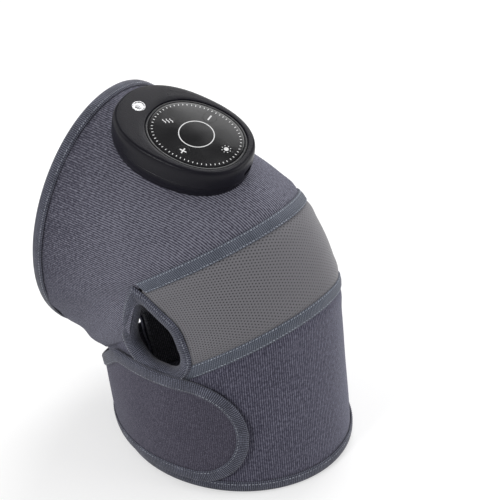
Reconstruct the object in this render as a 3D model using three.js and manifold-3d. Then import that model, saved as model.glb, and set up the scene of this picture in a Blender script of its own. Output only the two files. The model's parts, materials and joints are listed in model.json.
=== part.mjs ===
// Knee massager: a padded wrap bent at the knee, with a control unit on its thigh side.
// Millimetres, +Z up, +X towards the kneecap, -Y towards the outer (lateral) side of the leg.
// The wrap stands on the binding of its calf opening.

import * as THREE from 'three';
import { mergeVertices } from 'three/addons/utils/BufferGeometryUtils.js';
import Module from 'manifold-3d';

const wasm = await Module();
wasm.setup();

const degrees = Math.PI / 180;

// Driving dimensions of the wrap: two tapered tubes that meet in an oval ring at the knee

const calf = { cuffDepth: 170, cuffWidth: 160 };
const knee = { height: 133, depth: 163, width: 147, inset: 22, creaseRound: 4, frontRound: 68 };
const thigh = { rise: 8 * degrees, length: 116, cuffDepth: 188, cuffWidth: 157 };
const backGap = 8 * degrees;

const ease = 0.3;
const layer = { fabric: 2.4, space: 1.2, lining: 3.4 };
const heater = { thickness: 0.6, halfTurn: 52 * degrees, leadHalfTurn: 4 * degrees, margin: 4 };
const seam = { tilt: 33 * degrees, above: 23, below: 42, tapeWidth: 8.5, tapeThickness: 0.8 };
const binding = { width: 9, thickness: 0.9, innerEase: 0.6 };
const vent = { reach: 20, forward: 5, drop: 12 };
const ventLobeShares = [
  [-0.71, 1.03, 0.18],
  [-0.27, -0.1, 0.89],
  [0.23, -0.42, 0.56],
  [-0.63, -0.24, 0.54],
];

// Driving dimensions of the straps. Their middles are measured from the cuff that each closes.

const strap = { thickness: 1.8, lift: 2.6, binding: 0.6, bindingWidth: 8, creaseRoom: 5 };
const hookTape = { thickness: 0.8, ease: 0.5, margin: 1.5 };
const lowerStrap = { middle: 46.7, halfWidth: 38.5, root: -210 * degrees, end: -50 * degrees };
const lowerHook = { from: -112 * degrees, to: -80 * degrees };
const upperStrap = { middle: 22, halfWidth: 17, root: 200 * degrees, end: 137 * degrees };
const upperHook = { from: 168 * degrees, to: 152 * degrees };

// Driving dimensions of the control unit, in its own frame: x to the nose, z away from the wrap

const unit = { halfLength: 48.7, halfWidth: 34.7, height: 18.5, wall: 2.2, cornerShare: 0.87 };
const seat = { fromCuff: 71, around: -10 * degrees, yaw: 9 * degrees };
const face = { drop: 5.6, inset: 2.9 };
const faceEdgeShares = [[0.55, 0.14], [0.25, 0.36], [0.07, 0.68], [0, 1]];
const base = { parting: 4, floor: 2.2, skirt: 9, inset: 0.4, tuck: 2.8 };
const skirtEdgeShares = [[-1, 1], [-0.35, 0.36], [0.13, 0.07]];
const lens = { forward: 9.1, halfLength: 32.3, halfWidth: 26.5, sink: 0.3, cornerShare: 0.93 };
const lensEdge = { drop: 0.3, inset: 3.6 };
const lensEdgeShares = [[1, 0], [0.33, 0.2], [0, 1]];
const groove = { width: 2.2, depth: 1.6, ringSink: 0.5 };
const key = { powerRadius: 10.8, iconRadius: 4.6, iconForward: 21.8, iconSide: 17.9, lip: 0.9, chamfer: 0.3 };
const deck = { ceiling: 15.1, boardTop: 10.6, boardThickness: 1, boardMargin: 2, matThickness: 0.4 };
const tactSwitch = { side: 4.4, body: 1, height: 1.7, stemRadius: 1.1 };
const port = { width: 9.2, height: 3.4, length: 7.3, wall: 0.4, sink: 1.1, clearance: 0.2, tongue: 0.6 };
const badge = { radius: 4.5, thickness: 0.8, back: 43.6, proud: 0.2 };
const post = { forward: 33, side: 20, radius: 2.6, shoulder: 3.7 };
const screw = { radius: 1, headRadius: 2.2, headHeight: 1.1 };
const plate = { halfLength: 32, halfWidth: 21, thickness: 1.5, cornerShare: 0.77, pocketEase: 0.6 };
const plateScrew = { forward: 22, side: 12, seatDepth: 0.4 };
const battery = { length: 42, width: 28, thickness: 5.2, back: 13 };
const motor = { radius: 7, thickness: 5, forward: 23 };
const overrun = 40;

// How finely round forms are divided, and how places on the wrap are searched for

const columnCount = 36;
const kneeRows = 6;
const lobeSteps = 16;
const ventEdgeStep = 9;
const strapSteps = 12;
const endSteps = 6;
const unitSteps = 36;
const ovalSteps = 32;
const plateSteps = 24;
const keySteps = 24;
const postSteps = 12;
const hookSteps = 4;
const portSteps = 6;
const searchRounds = 30;
const searchStep = 0.001;
const acrossShares = [0, 0.5, 1];

// Colours and finishes

function finish(color, roughness, metalness = 0) {
  return new THREE.MeshStandardMaterial({ color, roughness, metalness });
}
const wrapFabric = finish(0x5b5b67, 0.95);
const bandFabric = finish(0x6f7070, 0.85);
const tapeFabric = finish(0x545b69, 0.9);
const strapFabric = finish(0x4d4b56, 0.95);
const liningFabric = finish(0x34363e, 0.98);
const hookFabric = finish(0x26262a, 0.9);
const housingPlastic = finish(0x2d2d32, 0.45);
const glossyBlack = finish(0x08080a, 0.12);
const darkPlastic = finish(0x1c1c1f, 0.5);
const brightMetal = finish(0xc4c6ca, 0.3, 0.9);
const copperFilm = finish(0xa8672f, 0.5, 0.3);
const boardGreen = finish(0x1f5a3a, 0.6);
const cellWrap = finish(0x3667a0, 0.5);
const steel = finish(0x9a9ca0, 0.35, 1);
const rubber = finish(0x3c3c40, 0.9);

// Solids: three.js makes the shapes, and the library joins and cuts them

function solidOf(geometry) {
  const bare = geometry.clone();
  bare.deleteAttribute('normal');
  bare.deleteAttribute('uv');
  const merged = mergeVertices(bare);
  return new wasm.Manifold(new wasm.Mesh({
    numProp: 3,
    vertProperties: new Float32Array(merged.attributes.position.array),
    triVerts: new Uint32Array(merged.index.array),
  }));
}

function geometryOf(solid) {
  const mesh = solid.getMesh();
  const geometry = new THREE.BufferGeometry();
  geometry.setAttribute('position', new THREE.BufferAttribute(new Float32Array(mesh.vertProperties), 3));
  geometry.setIndex(new THREE.BufferAttribute(new Uint32Array(mesh.triVerts), 1));
  geometry.computeVertexNormals();
  return geometry;
}

function minus(solid, ...tools) {
  return tools.reduce((rest, tool) => rest.subtract(tool), solid);
}

function plus(solid, ...others) {
  return others.reduce((whole, other) => whole.add(other), solid);
}

function common(solid, ...others) {
  return others.reduce((shared, other) => shared.intersect(other), solid);
}

function largestPiece(solid) {
  return solid.decompose().reduce((best, piece) => (piece.volume() > best.volume() ? piece : best));
}

const assembly = new THREE.Group();

function addPiece(parent, name, solid, material) {
  const mesh = new THREE.Mesh(geometryOf(solid), material);
  mesh.name = name;
  parent.add(mesh);
  return mesh;
}

// Surface of the wrap: for an angle u round the leg, 0 in front and positive on the inner side,
// a straight line climbs from the calf cuff, turns through a round at the knee and runs to the thigh cuff

const thighAxis = new THREE.Vector3(-Math.cos(thigh.rise), 0, Math.sin(thigh.rise));
const thighUp = new THREE.Vector3(Math.sin(thigh.rise), 0, Math.cos(thigh.rise));
const calfAxis = new THREE.Vector3(0, 0, -1);
const kneeOut = thighAxis.clone().add(calfAxis).normalize().negate();
const kneeHalfAngle = Math.acos(-kneeOut.dot(calfAxis));
const kneeStretch = 1 / Math.sin(kneeHalfAngle);
const kneeAxisPoint = new THREE.Vector3(0, 0, knee.height);
const kneeMiddle = kneeAxisPoint.clone().addScaledVector(kneeOut, -knee.inset);
const thighCuffMiddle = kneeAxisPoint.clone().addScaledVector(thighAxis, thigh.length);
const sideways = new THREE.Vector3(0, 1, 0);

function ovalPoint(middle, direction, halfDepth, halfWidth, u) {
  return middle.clone()
    .addScaledVector(direction, halfDepth * Math.cos(u))
    .addScaledVector(sideways, halfWidth * Math.sin(u));
}

function cuffOval(middle, direction, tube, offset, u) {
  return ovalPoint(middle, direction, tube.cuffDepth / 2 + offset, tube.cuffWidth / 2 + offset, u);
}

function ringPoints(u, offset) {
  const forward = new THREE.Vector3(1, 0, 0);
  const kneeHalfDepth = (knee.depth / 2 + offset) * kneeStretch;
  return {
    cuff: cuffOval(new THREE.Vector3(), forward, calf, offset, u),
    knee: ovalPoint(kneeMiddle, kneeOut, kneeHalfDepth, knee.width / 2 + offset, u),
    top: cuffOval(thighCuffMiddle, thighUp, thigh, offset, u),
  };
}

function kneeRound(u) {
  return knee.creaseRound + (knee.frontRound - knee.creaseRound) * (1 + Math.cos(u)) / 2;
}

// s runs 0 to 1 up the calf, 1 to 2 round the knee and 2 to 3 along the thigh
function wrapPoint(u, s, offset) {
  const ring = ringPoints(u, offset);
  const toCalf = ring.cuff.clone().sub(ring.knee);
  const toThigh = ring.top.clone().sub(ring.knee);
  const calfTangent = ring.knee.clone().addScaledVector(toCalf.clone().normalize(), kneeRound(u));
  const thighTangent = ring.knee.clone().addScaledVector(toThigh.clone().normalize(), kneeRound(u));
  if (s <= 1) {
    return ring.cuff.lerp(calfTangent, s);
  }
  if (s >= 2) {
    return thighTangent.lerp(ring.top, s - 2);
  }
  const t = s - 1;
  const weight = Math.sin(toCalf.angleTo(toThigh) / 2);
  const pulls = [(1 - t) * (1 - t), 2 * weight * t * (1 - t), t * t];
  const total = pulls[0] + pulls[1] + pulls[2];
  return calfTangent.multiplyScalar(pulls[0] / total)
    .addScaledVector(ring.knee, pulls[1] / total)
    .addScaledVector(thighTangent, pulls[2] / total);
}

// A point on the line that leaves a cuff towards the knee, a distance in from that cuff
function cuffPoint(end, u, inwards, offset) {
  const ring = ringPoints(u, offset);
  const start = ring[end];
  const along = ring.knee.clone().sub(start).normalize();
  return start.clone().addScaledVector(along, inwards);
}

function spread(from, to, steps) {
  return Array.from({ length: steps + 1 }, (_, i) => from + (to - from) * i / steps);
}

function signedVolume(points, faces) {
  const corner = (index) => new THREE.Vector3().fromArray(points, index * 3);
  let volume = 0;
  for (let i = 0; i < faces.length; i += 3) {
    volume += corner(faces[i]).dot(corner(faces[i + 1]).cross(corner(faces[i + 2])));
  }
  return volume;
}

function meshSolid(points, faces) {
  if (signedVolume(points, faces) < 0) {
    faces.reverse();
  }
  const geometry = new THREE.BufferGeometry();
  geometry.setAttribute('position', new THREE.Float32BufferAttribute(points, 3));
  geometry.setIndex(faces);
  return solidOf(geometry);
}

// A closed solid between two offsets of a surface, over columns and rows
function sheetSolid(place, columns, rows, inner, outer) {
  const points = [outer, inner].flatMap((offset) => (
    columns.flatMap((column) => rows.flatMap((row) => place(column, row, offset).toArray()))
  ));
  const faces = [];
  const outside = (column, row) => column * rows.length + row;
  const inside = (column, row) => outside(column, row) + columns.length * rows.length;
  const quad = (a, b, c, d) => faces.push(a, b, c, a, c, d);
  const lastColumn = columns.length - 1;
  const lastRow = rows.length - 1;
  for (let i = 0; i < lastColumn; i += 1) {
    for (let j = 0; j < lastRow; j += 1) {
      quad(outside(i, j), outside(i + 1, j), outside(i + 1, j + 1), outside(i, j + 1));
      quad(inside(i, j), inside(i, j + 1), inside(i + 1, j + 1), inside(i + 1, j));
    }
    quad(outside(i, 0), inside(i, 0), inside(i + 1, 0), outside(i + 1, 0));
    quad(outside(i, lastRow), outside(i + 1, lastRow), inside(i + 1, lastRow), inside(i, lastRow));
  }
  for (let j = 0; j < lastRow; j += 1) {
    quad(outside(0, j), outside(0, j + 1), inside(0, j + 1), inside(0, j));
    quad(outside(lastColumn, j), inside(lastColumn, j), inside(lastColumn, j + 1), outside(lastColumn, j + 1));
  }
  return meshSolid(points, faces);
}

// The straight stretches of the wrap are ruled, so only the round at the knee is divided
const wrapRows = [0, ...spread(1, 2, kneeRows), 3];
const openColumns = spread(-Math.PI + backGap, Math.PI - backGap, columnCount);

function wrapShell(inner, outer) {
  return sheetSolid(wrapPoint, openColumns, wrapRows, inner, outer);
}

// A closed solid swept through stations: each station places the points of one closed profile,
// whose coordinates are a distance in from the edge and an offset from the wrap
function sweepSolid(stations, profile, place, closedRound = false) {
  const points = stations.flatMap((station) => (
    profile.flatMap(([inset, offset]) => place(station, inset, offset).toArray())
  ));
  const size = profile.length;
  const faces = [];
  const steps = closedRound ? stations.length : stations.length - 1;
  for (let step = 0; step < steps; step += 1) {
    const next = (step + 1) % stations.length;
    for (let i = 0; i < size; i += 1) {
      const j = (i + 1) % size;
      faces.push(step * size + i, next * size + i, next * size + j);
      faces.push(step * size + i, next * size + j, step * size + j);
    }
  }
  if (!closedRound) {
    const contour = profile.map(([inset, offset]) => new THREE.Vector2(inset, offset));
    const last = (stations.length - 1) * size;
    const clockwise = THREE.ShapeUtils.isClockWise(contour);
    for (const [a, b, c] of THREE.ShapeUtils.triangulateShape(contour, [])) {
      const cap = clockwise ? [a, c, b] : [a, b, c];
      faces.push(...cap, last + cap[0], last + cap[2], last + cap[1]);
    }
  }
  return meshSolid(points, faces);
}

// Section of a folded tape round the edge of a stack of layers
function channel(width, thickness, bottom, top, innerEase = ease) {
  return [
    [0, top + ease + thickness],
    [width, top + ease + thickness],
    [width, top + ease],
    [thickness, top + ease],
    [thickness, bottom - innerEase],
    [width, bottom - innerEase],
    [width, bottom - innerEase - thickness],
    [0, bottom - innerEase - thickness],
  ];
}

// Planes of the two seams that hold the knee band, tilted up towards the front

const wrapReach = thigh.length + thigh.cuffDepth + knee.height + calf.cuffDepth;

function slab(from, to, tilt = seam.tilt, through = kneeAxisPoint) {
  const box = new THREE.BoxGeometry(wrapReach * 2, wrapReach, to - from);
  box.translate(0, 0, (from + to) / 2);
  box.rotateY(-tilt);
  return solidOf(box.translate(through.x, through.y, through.z));
}

// The plane of the knee ring, which the two linings and, behind the vents, the panels meet in
const creaseTilt = Math.atan2(kneeOut.z, kneeOut.x);

function creaseSlab(from, to) {
  return slab(from, to, creaseTilt, kneeMiddle);
}

// Outline of a vent: the hull of four round lobes, so that growing it keeps its edges parallel

function hullOf(points) {
  const sorted = [...points].sort((a, b) => a.x - b.x || a.y - b.y);
  const turn = (o, a, b) => (a.x - o.x) * (b.y - o.y) - (a.y - o.y) * (b.x - o.x);
  const half = (list) => {
    const chain = [];
    for (const point of list) {
      while (chain.length > 1 && turn(chain.at(-2), chain.at(-1), point) <= 0) {
        chain.pop();
      }
      chain.push(point);
    }
    return chain.slice(0, -1);
  };
  return [...half(sorted), ...half(sorted.reverse())];
}

const ventMiddle = new THREE.Vector2(kneeMiddle.x + vent.forward, kneeMiddle.z - vent.drop);
const ventHull = hullOf(ventLobeShares.flatMap(([forward, up, radius]) => (
  spread(0, 2 * Math.PI, lobeSteps).slice(1).map((turn) => ({
    x: ventMiddle.x + forward * vent.reach + radius * vent.reach * Math.cos(turn),
    y: ventMiddle.y + up * vent.reach + radius * vent.reach * Math.sin(turn),
    turn,
  }))
)));
const ventStations = ventHull.flatMap((corner, index) => {
  const next = ventHull[(index + 1) % ventHull.length];
  const steps = Math.ceil(Math.hypot(next.x - corner.x, next.y - corner.y) / ventEdgeStep);
  return spread(0, 1, steps).slice(0, -1).map((share) => ({
    x: corner.x + (next.x - corner.x) * share,
    y: corner.y + (next.y - corner.y) * share,
    turn: share ? edgeTurn(corner, next) : corner.turn,
  }));
});

function edgeTurn(corner, next) {
  return Math.atan2(corner.x - next.x, next.y - corner.y);
}

function ventPrism(grow) {
  const outline = new THREE.Shape(ventStations.map(({ x, y, turn }) => (
    new THREE.Vector2(x + grow * Math.cos(turn), y + grow * Math.sin(turn))
  )));
  const prism = new THREE.ExtrudeGeometry(outline, { depth: wrapReach, bevelEnabled: false });
  prism.rotateX(Math.PI / 2);
  return solidOf(prism.translate(0, wrapReach / 2, 0));
}

const ventHole = ventPrism(binding.thickness + ease);
const ventTip = ventMiddle.x + ventLobeShares[0][0] * vent.reach;

function behindVents() {
  const block = new THREE.BoxGeometry(wrapReach, wrapReach, wrapReach * 2);
  return solidOf(block.translate(ventTip - wrapReach / 2, 0, 0));
}

// Angle and share of the wrap whose point, in some frame, has two wanted coordinates
function solveWrap(wanted, seen, u, s) {
  let guess = [u, s];
  for (let round = 0; round < searchRounds; round += 1) {
    const here = seen(...guess);
    const du = seen(guess[0] + searchStep, guess[1]).sub(here).divideScalar(searchStep);
    const ds = seen(guess[0], guess[1] + searchStep).sub(here).divideScalar(searchStep);
    const det = du.x * ds.y - du.y * ds.x;
    const miss = wanted.clone().sub(here);
    guess = [
      guess[0] + (miss.x * ds.y - miss.y * ds.x) / det,
      guess[1] + (miss.y * du.x - miss.x * du.y) / det,
    ];
  }
  return guess;
}

// Frame of the control unit on the wrap

const seatShare = (() => {
  const straight = wrapPoint(seat.around, 2, 0).distanceTo(wrapPoint(seat.around, 3, 0));
  return 3 - seat.fromCuff / straight;
})();
const seatPoint = wrapPoint(seat.around, seatShare, 0);
const seatNose = wrapPoint(seat.around, 2, 0).sub(seatPoint).normalize();
const seatAcross = wrapPoint(seat.around + searchStep, seatShare, 0).sub(seatPoint).normalize();
const seatNormal = seatNose.clone().cross(seatAcross).normalize();

const unitGroup = new THREE.Group();
const unitTurn = new THREE.Matrix4().makeBasis(seatNose, seatNormal.clone().cross(seatNose), seatNormal);
unitGroup.quaternion.setFromRotationMatrix(unitTurn);
unitGroup.rotateZ(seat.yaw);
unitGroup.position.copy(seatPoint);
unitGroup.updateMatrix();
const intoUnit = unitGroup.matrix.clone().invert();

function inUnit(solid) {
  const geometry = geometryOf(solid);
  return solidOf(geometry.applyMatrix4(intoUnit));
}

function fromUnit(solid) {
  const geometry = geometryOf(solid);
  return solidOf(geometry.applyMatrix4(unitGroup.matrix));
}

function cylinder(radius, from, to, x, y, sides = postSteps) {
  const shape = new THREE.CylinderGeometry(radius, radius, to - from, sides);
  shape.rotateX(Math.PI / 2);
  return solidOf(shape.translate(x, y, (from + to) / 2));
}

// Height of the wrap in the unit's frame, below a place on the unit
function wrapHeight(x, y, offset) {
  const local = (u, s) => wrapPoint(u, s, offset).applyMatrix4(intoUnit);
  const flat = (u, s) => {
    const point = local(u, s);
    return new THREE.Vector2(point.x, point.y);
  };
  return local(...solveWrap(new THREE.Vector2(x, y), flat, seat.around, seatShare)).z;
}

function fourPlaces(forward, side) {
  return [[forward, side], [forward, -side], [-forward, side], [-forward, -side]];
}

// Outer panels of the wrap

const upperSeam = seam.above;
const lowerSeam = -seam.below;
const panelShell = minus(wrapShell(-layer.fabric, 0), ventHole);
const platePlaces = fourPlaces(plateScrew.forward, plateScrew.side);
const shankHoles = platePlaces.map(([x, y]) => (
  fromUnit(cylinder(screw.radius + ease, -overrun / 2, overrun / 2, x, y))
));

const back = behindVents();
const thighZone = plus(
  minus(slab(upperSeam + ease / 2, wrapReach), back),
  common(creaseSlab(ease / 2, wrapReach), back),
);
const calfZone = plus(
  minus(slab(-wrapReach, lowerSeam - ease / 2), back),
  common(creaseSlab(-wrapReach, -ease / 2), back),
);
const bandZone = minus(slab(lowerSeam + ease / 2, upperSeam - ease / 2), back.translate([ease, 0, 0]));
addPiece(assembly, 'thigh_panel', minus(common(panelShell, thighZone), ...shankHoles), wrapFabric);
addPiece(assembly, 'knee_band', largestPiece(common(panelShell, bandZone)), bandFabric);
addPiece(assembly, 'calf_panel', common(panelShell, calfZone), wrapFabric);

// Lining in two pieces, with a pocket for the mounting plate

const liningTop = -layer.fabric - layer.space;
const liningBottom = liningTop - layer.lining;
const pocketDepth = plate.thickness + screw.headHeight + ease + plate.pocketEase - layer.space;

function ovalPoints(halfLength, halfWidth, cornerShare, steps) {
  return spread(0, 2 * Math.PI, steps).slice(1).map((turn) => {
    const c = Math.cos(turn);
    const d = Math.sin(turn);
    return new THREE.Vector2(
      halfLength * Math.sign(c) * Math.abs(c) ** cornerShare,
      halfWidth * Math.sign(d) * Math.abs(d) ** cornerShare,
    );
  });
}

function ovalPrism(halfLength, halfWidth, from, to, x = 0, cornerShare = unit.cornerShare, steps = ovalSteps) {
  const outline = new THREE.Shape(ovalPoints(halfLength, halfWidth, cornerShare, steps));
  const prism = new THREE.ExtrudeGeometry(outline, { depth: to - from, bevelEnabled: false });
  return solidOf(prism.translate(x, 0, from));
}

function plateColumn(grow) {
  const length = plate.halfLength + grow;
  const width = plate.halfWidth + grow;
  return fromUnit(ovalPrism(length, width, -overrun, overrun, 0, plate.cornerShare, plateSteps));
}

const pocketColumn = plateColumn(plate.pocketEase);
const liningShell = minus(
  wrapShell(liningBottom, liningTop),
  ventHole,
  common(wrapShell(liningTop - pocketDepth, liningTop + ease), pocketColumn),
);
addPiece(assembly, 'thigh_lining', common(liningShell, creaseSlab(ease / 2, wrapReach)), liningFabric);
addPiece(assembly, 'calf_lining', common(liningShell, creaseSlab(-wrapReach, -ease / 2)), liningFabric);

// Heater under the knee band, and its flat lead up to the control unit

const filmTop = -layer.fabric - ease;
const filmColumns = openColumns.filter((u) => Math.abs(u) < heater.halfTurn);
const filmSheet = sheetSolid(wrapPoint, filmColumns, wrapRows, filmTop - heater.thickness, filmTop);
const filmZone = slab(lowerSeam + heater.margin, upperSeam - heater.margin);
addPiece(assembly, 'heating_film', common(filmSheet, filmZone), copperFilm);

const leadColumns = spread(-heater.leadHalfTurn, heater.leadHalfTurn, 2);
const leadSheet = sheetSolid(wrapPoint, leadColumns, wrapRows, filmTop - heater.thickness, filmTop);
const behindPocket = fromUnit(
  solidOf(new THREE.BoxGeometry(wrapReach, wrapReach, wrapReach).translate(-wrapReach / 2, 0, 0)),
);
const leadZone = slab(upperSeam - heater.margin + ease, wrapReach);
addPiece(assembly, 'heater_lead', minus(common(leadSheet, leadZone), pocketColumn, behindPocket), copperFilm);

// Elastic tapes over the two seams

function seamTape(level) {
  const strip = common(
    wrapShell(ease, ease + seam.tapeThickness),
    slab(level - seam.tapeWidth / 2, level + seam.tapeWidth / 2),
  );
  return largestPiece(minus(strip, ventPrism(binding.width + ease), back));
}

addPiece(assembly, 'upper_seam_tape', seamTape(upperSeam), tapeFabric);
addPiece(assembly, 'lower_seam_tape', seamTape(lowerSeam), tapeFabric);

// Bindings: a folded tape that holds all layers at an edge, so its section is a channel

const edgeOut = binding.thickness + ease;
const bindingSection = channel(binding.width, binding.thickness, liningBottom, 0);

function cuffBinding(end) {
  const place = (u, inset, offset) => cuffPoint(end, u, inset - edgeOut, offset);
  return sweepSolid(openColumns, bindingSection, place);
}

addPiece(assembly, 'thigh_cuff_binding', cuffBinding('top'), tapeFabric);
addPiece(assembly, 'calf_cuff_binding', cuffBinding('cuff'), tapeFabric);

// A vent's binding follows its outline as it is seen from the side of the leg
function ventBinding(side) {
  const seen = (offset) => (u, s) => {
    const point = wrapPoint(u, s, offset);
    return new THREE.Vector2(point.x, point.z);
  };
  const place = ({ x, y, turn }, inset, offset) => {
    const wanted = new THREE.Vector2(x + inset * Math.cos(turn), y + inset * Math.sin(turn));
    return wrapPoint(...solveWrap(wanted, seen(offset), side * Math.PI / 2, 1.5), offset);
  };
  const section = channel(binding.width, binding.thickness, liningBottom, 0, binding.innerEase);
  return sweepSolid(ventStations, section, place, true);
}

addPiece(assembly, 'lateral_vent_binding', ventBinding(-1), tapeFabric);
addPiece(assembly, 'medial_vent_binding', ventBinding(1), tapeFabric);

// Straps: each is sewn on one back edge of the wrap, crosses the gap behind the leg and closes with a
// round end on the other side. A layout is flat: angles round the leg, and distances along it.

function upperEdge(layout, u) {
  return Math.min(layout.middle + layout.halfWidth, layout.limit(u));
}

function strapColumns(layout, inset) {
  const sign = Math.sign(layout.end - layout.root);
  const radius = layout.halfWidth - inset;
  const shoulder = layout.end - sign * layout.halfWidth / layout.legRadius;
  const straight = spread(layout.root, shoulder, strapSteps).map((u) => ({
    u,
    low: layout.middle - radius,
    high: upperEdge(layout, u) - inset,
    turn: 0,
  }));
  const round = spread(0, Math.PI / 2, endSteps + 1).slice(1, -1).map((turn) => ({
    u: shoulder + sign * radius * Math.sin(turn) / layout.legRadius,
    low: layout.middle - radius * Math.cos(turn),
    high: layout.middle + radius * Math.cos(turn),
    turn: sign * turn,
  }));
  return [...straight, ...round];
}

// Round the edge of a strap, with the direction that leads in from it
function strapStations(layout) {
  const columns = strapColumns(layout, 0);
  const lower = columns.map(({ u, low, turn }) => ({ u, row: low, turn, up: 1 }));
  const upper = columns.map(({ u, high, turn }) => ({ u, row: high, turn, up: -1 }));
  return [...lower, ...upper.reverse()];
}

// Rows across a strap: its edges, the inner edges of its binding and its middle
const strapRows = [-2, -1, 0, 1, 2];

function addStrap(name, layout, hook) {
  const inner = strap.lift;
  const outer = strap.lift + strap.thickness;
  const bodyColumns = strapColumns(layout, strap.binding + ease);
  const place = ({ u, low, high }, side, offset) => {
    const middle = (low + high) / 2;
    const reach = (high - low) / 2;
    const hem = Math.min(strap.bindingWidth, reach / 2);
    return layout.place(u, middle + Math.sign(side) * (Math.abs(side) > 1 ? reach : reach - hem), offset);
  };
  addPiece(assembly, name, sheetSolid(place, bodyColumns, strapRows, inner, outer), strapFabric);

  const section = channel(strap.bindingWidth, strap.binding, inner, outer);
  const placeEdge = ({ u, row, turn, up }, inset, offset) => (
    layout.place(u - inset * Math.sin(turn) / layout.legRadius, row + inset * up * Math.cos(turn), offset)
  );
  addPiece(assembly, name + '_binding', sweepSolid(strapStations(layout), section, placeEdge), tapeFabric);

  const hem = strap.bindingWidth + hookTape.margin;
  const hookColumns = spread(hook.from, hook.to, hookSteps);
  const placeHook = (u, share, offset) => {
    const low = layout.middle - layout.halfWidth + hem;
    return layout.place(u, low + (upperEdge(layout, u) - hem - low) * share, offset);
  };
  const hookTop = inner - hookTape.ease;
  const hookFoot = hookTop - hookTape.thickness;
  const hookSolid = sheetSolid(placeHook, hookColumns, acrossShares, hookFoot, hookTop);
  addPiece(assembly, name + '_hook', hookSolid, hookFabric);
}

// Lower strap, level round the calf and narrowed where the thigh folds down on it

function levelPoint(u, height, offset) {
  let low = 0;
  let high = 2;
  for (let round = 0; round < searchRounds; round += 1) {
    const middle = (low + high) / 2;
    if (wrapPoint(u, middle, 0).z < height) {
      low = middle;
    } else {
      high = middle;
    }
  }
  return wrapPoint(u, low, offset);
}

addStrap('lower_strap', {
  ...lowerStrap,
  legRadius: (calf.cuffDepth + calf.cuffWidth) / 4,
  limit: (u) => ringPoints(u, 0).knee.z - strap.creaseRoom,
  place: levelPoint,
}, lowerHook);

// Upper strap, a steady distance in from the thigh cuff

addStrap('upper_strap', {
  ...upperStrap,
  legRadius: (thigh.cuffDepth + thigh.cuffWidth) / 4,
  limit: (u) => {
    const ring = ringPoints(u, 0);
    return ring.knee.distanceTo(ring.top) - strap.creaseRoom;
  },
  place: (u, row, offset) => cuffPoint('top', u, row, offset),
}, upperHook);

// Mounting plate behind the thigh fabric, and the screws that hold the control unit to it

const plateTop = -layer.fabric - ease;
const plateFoot = plateTop - plate.thickness;
const plateSolid = common(wrapShell(plateFoot, plateTop), plateColumn(0));
const plateSeats = platePlaces.map(([x, y]) => wrapHeight(x, y, plateFoot) + plateScrew.seatDepth);
const seatBores = platePlaces.map(([x, y], index) => (
  fromUnit(cylinder(screw.headRadius + ease, -overrun, plateSeats[index], x, y))
));
addPiece(assembly, 'mounting_plate', minus(plateSolid, ...shankHoles, ...seatBores), darkPlastic);

platePlaces.forEach(([x, y], index) => {
  const headTop = plateSeats[index] - ease;
  const head = cylinder(screw.headRadius, headTop - screw.headHeight, headTop, x, y);
  const shank = cylinder(screw.radius, headTop - screw.headHeight / 2, base.floor - ease, x, y);
  addPiece(unitGroup, 'mounting_screw_' + (index + 1), plus(head, shank), steel);
});

// Control unit: lofted oval shells

function loftSolid(levels, halfLength, halfWidth, x, cornerShare) {
  const points = [];
  const faces = [];
  for (const [height, inset] of levels) {
    for (const point of ovalPoints(halfLength - inset, halfWidth - inset, cornerShare, unitSteps)) {
      points.push(x + point.x, point.y, height);
    }
  }
  const last = (levels.length - 1) * unitSteps;
  const bottom = levels.length * unitSteps;
  const top = bottom + 1;
  points.push(x, 0, levels[0][0], x, 0, levels.at(-1)[0]);
  for (let i = 0; i < unitSteps; i += 1) {
    const next = (i + 1) % unitSteps;
    for (let level = 0; level < last; level += unitSteps) {
      faces.push(level + i, level + next, level + next + unitSteps);
      faces.push(level + i, level + next + unitSteps, level + i + unitSteps);
    }
    faces.push(bottom, next, i, top, last + i, last + next);
  }
  return meshSolid(points, faces);
}

function stadium(halfLength, radius) {
  const reach = halfLength - radius;
  const shape = new THREE.Shape();
  shape.absarc(0, reach, radius, 0, Math.PI);
  shape.absarc(0, -reach, radius, Math.PI, 2 * Math.PI);
  return shape;
}

const boardFoot = deck.boardTop - deck.boardThickness;
const portHeight = boardFoot - ease - port.height / 2;

// A slot or socket that runs to the nose, wider than the port by an amount
function alongNose(grow, from, to) {
  const shape = stadium(port.width / 2 + grow, port.height / 2 + grow);
  const settings = { depth: to - from, bevelEnabled: false, curveSegments: portSteps };
  const solid = new THREE.ExtrudeGeometry(shape, settings);
  solid.rotateY(Math.PI / 2);
  return solidOf(solid.translate(from, 0, portHeight));
}

const housingPosts = fourPlaces(post.forward, post.side);
const lensFoot = unit.height - groove.depth + ease;
const lensTop = unit.height - lens.sink;
const keyPlaces = {
  power_key: { x: lens.forward, y: 0, radius: key.powerRadius },
  vibration_key: { x: lens.forward - key.iconForward, y: 0, radius: key.iconRadius },
  heat_key: { x: lens.forward + key.iconForward, y: 0, radius: key.iconRadius },
  plus_key: { x: lens.forward, y: -key.iconSide, radius: key.iconRadius },
  minus_key: { x: lens.forward, y: key.iconSide, radius: key.iconRadius },
};
const keyBores = Object.values(keyPlaces).map(({ x, y, radius }) => (
  cylinder(radius + ease, deck.boardTop, unit.height + overrun, x, y, keySteps)
));

function lensPrism(grow, from, to) {
  return ovalPrism(lens.halfLength + grow, lens.halfWidth + grow, from, to, lens.forward, lens.cornerShare);
}

// Top housing: shell, screw posts, recess for the glossy panel, bores for the keys

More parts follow.
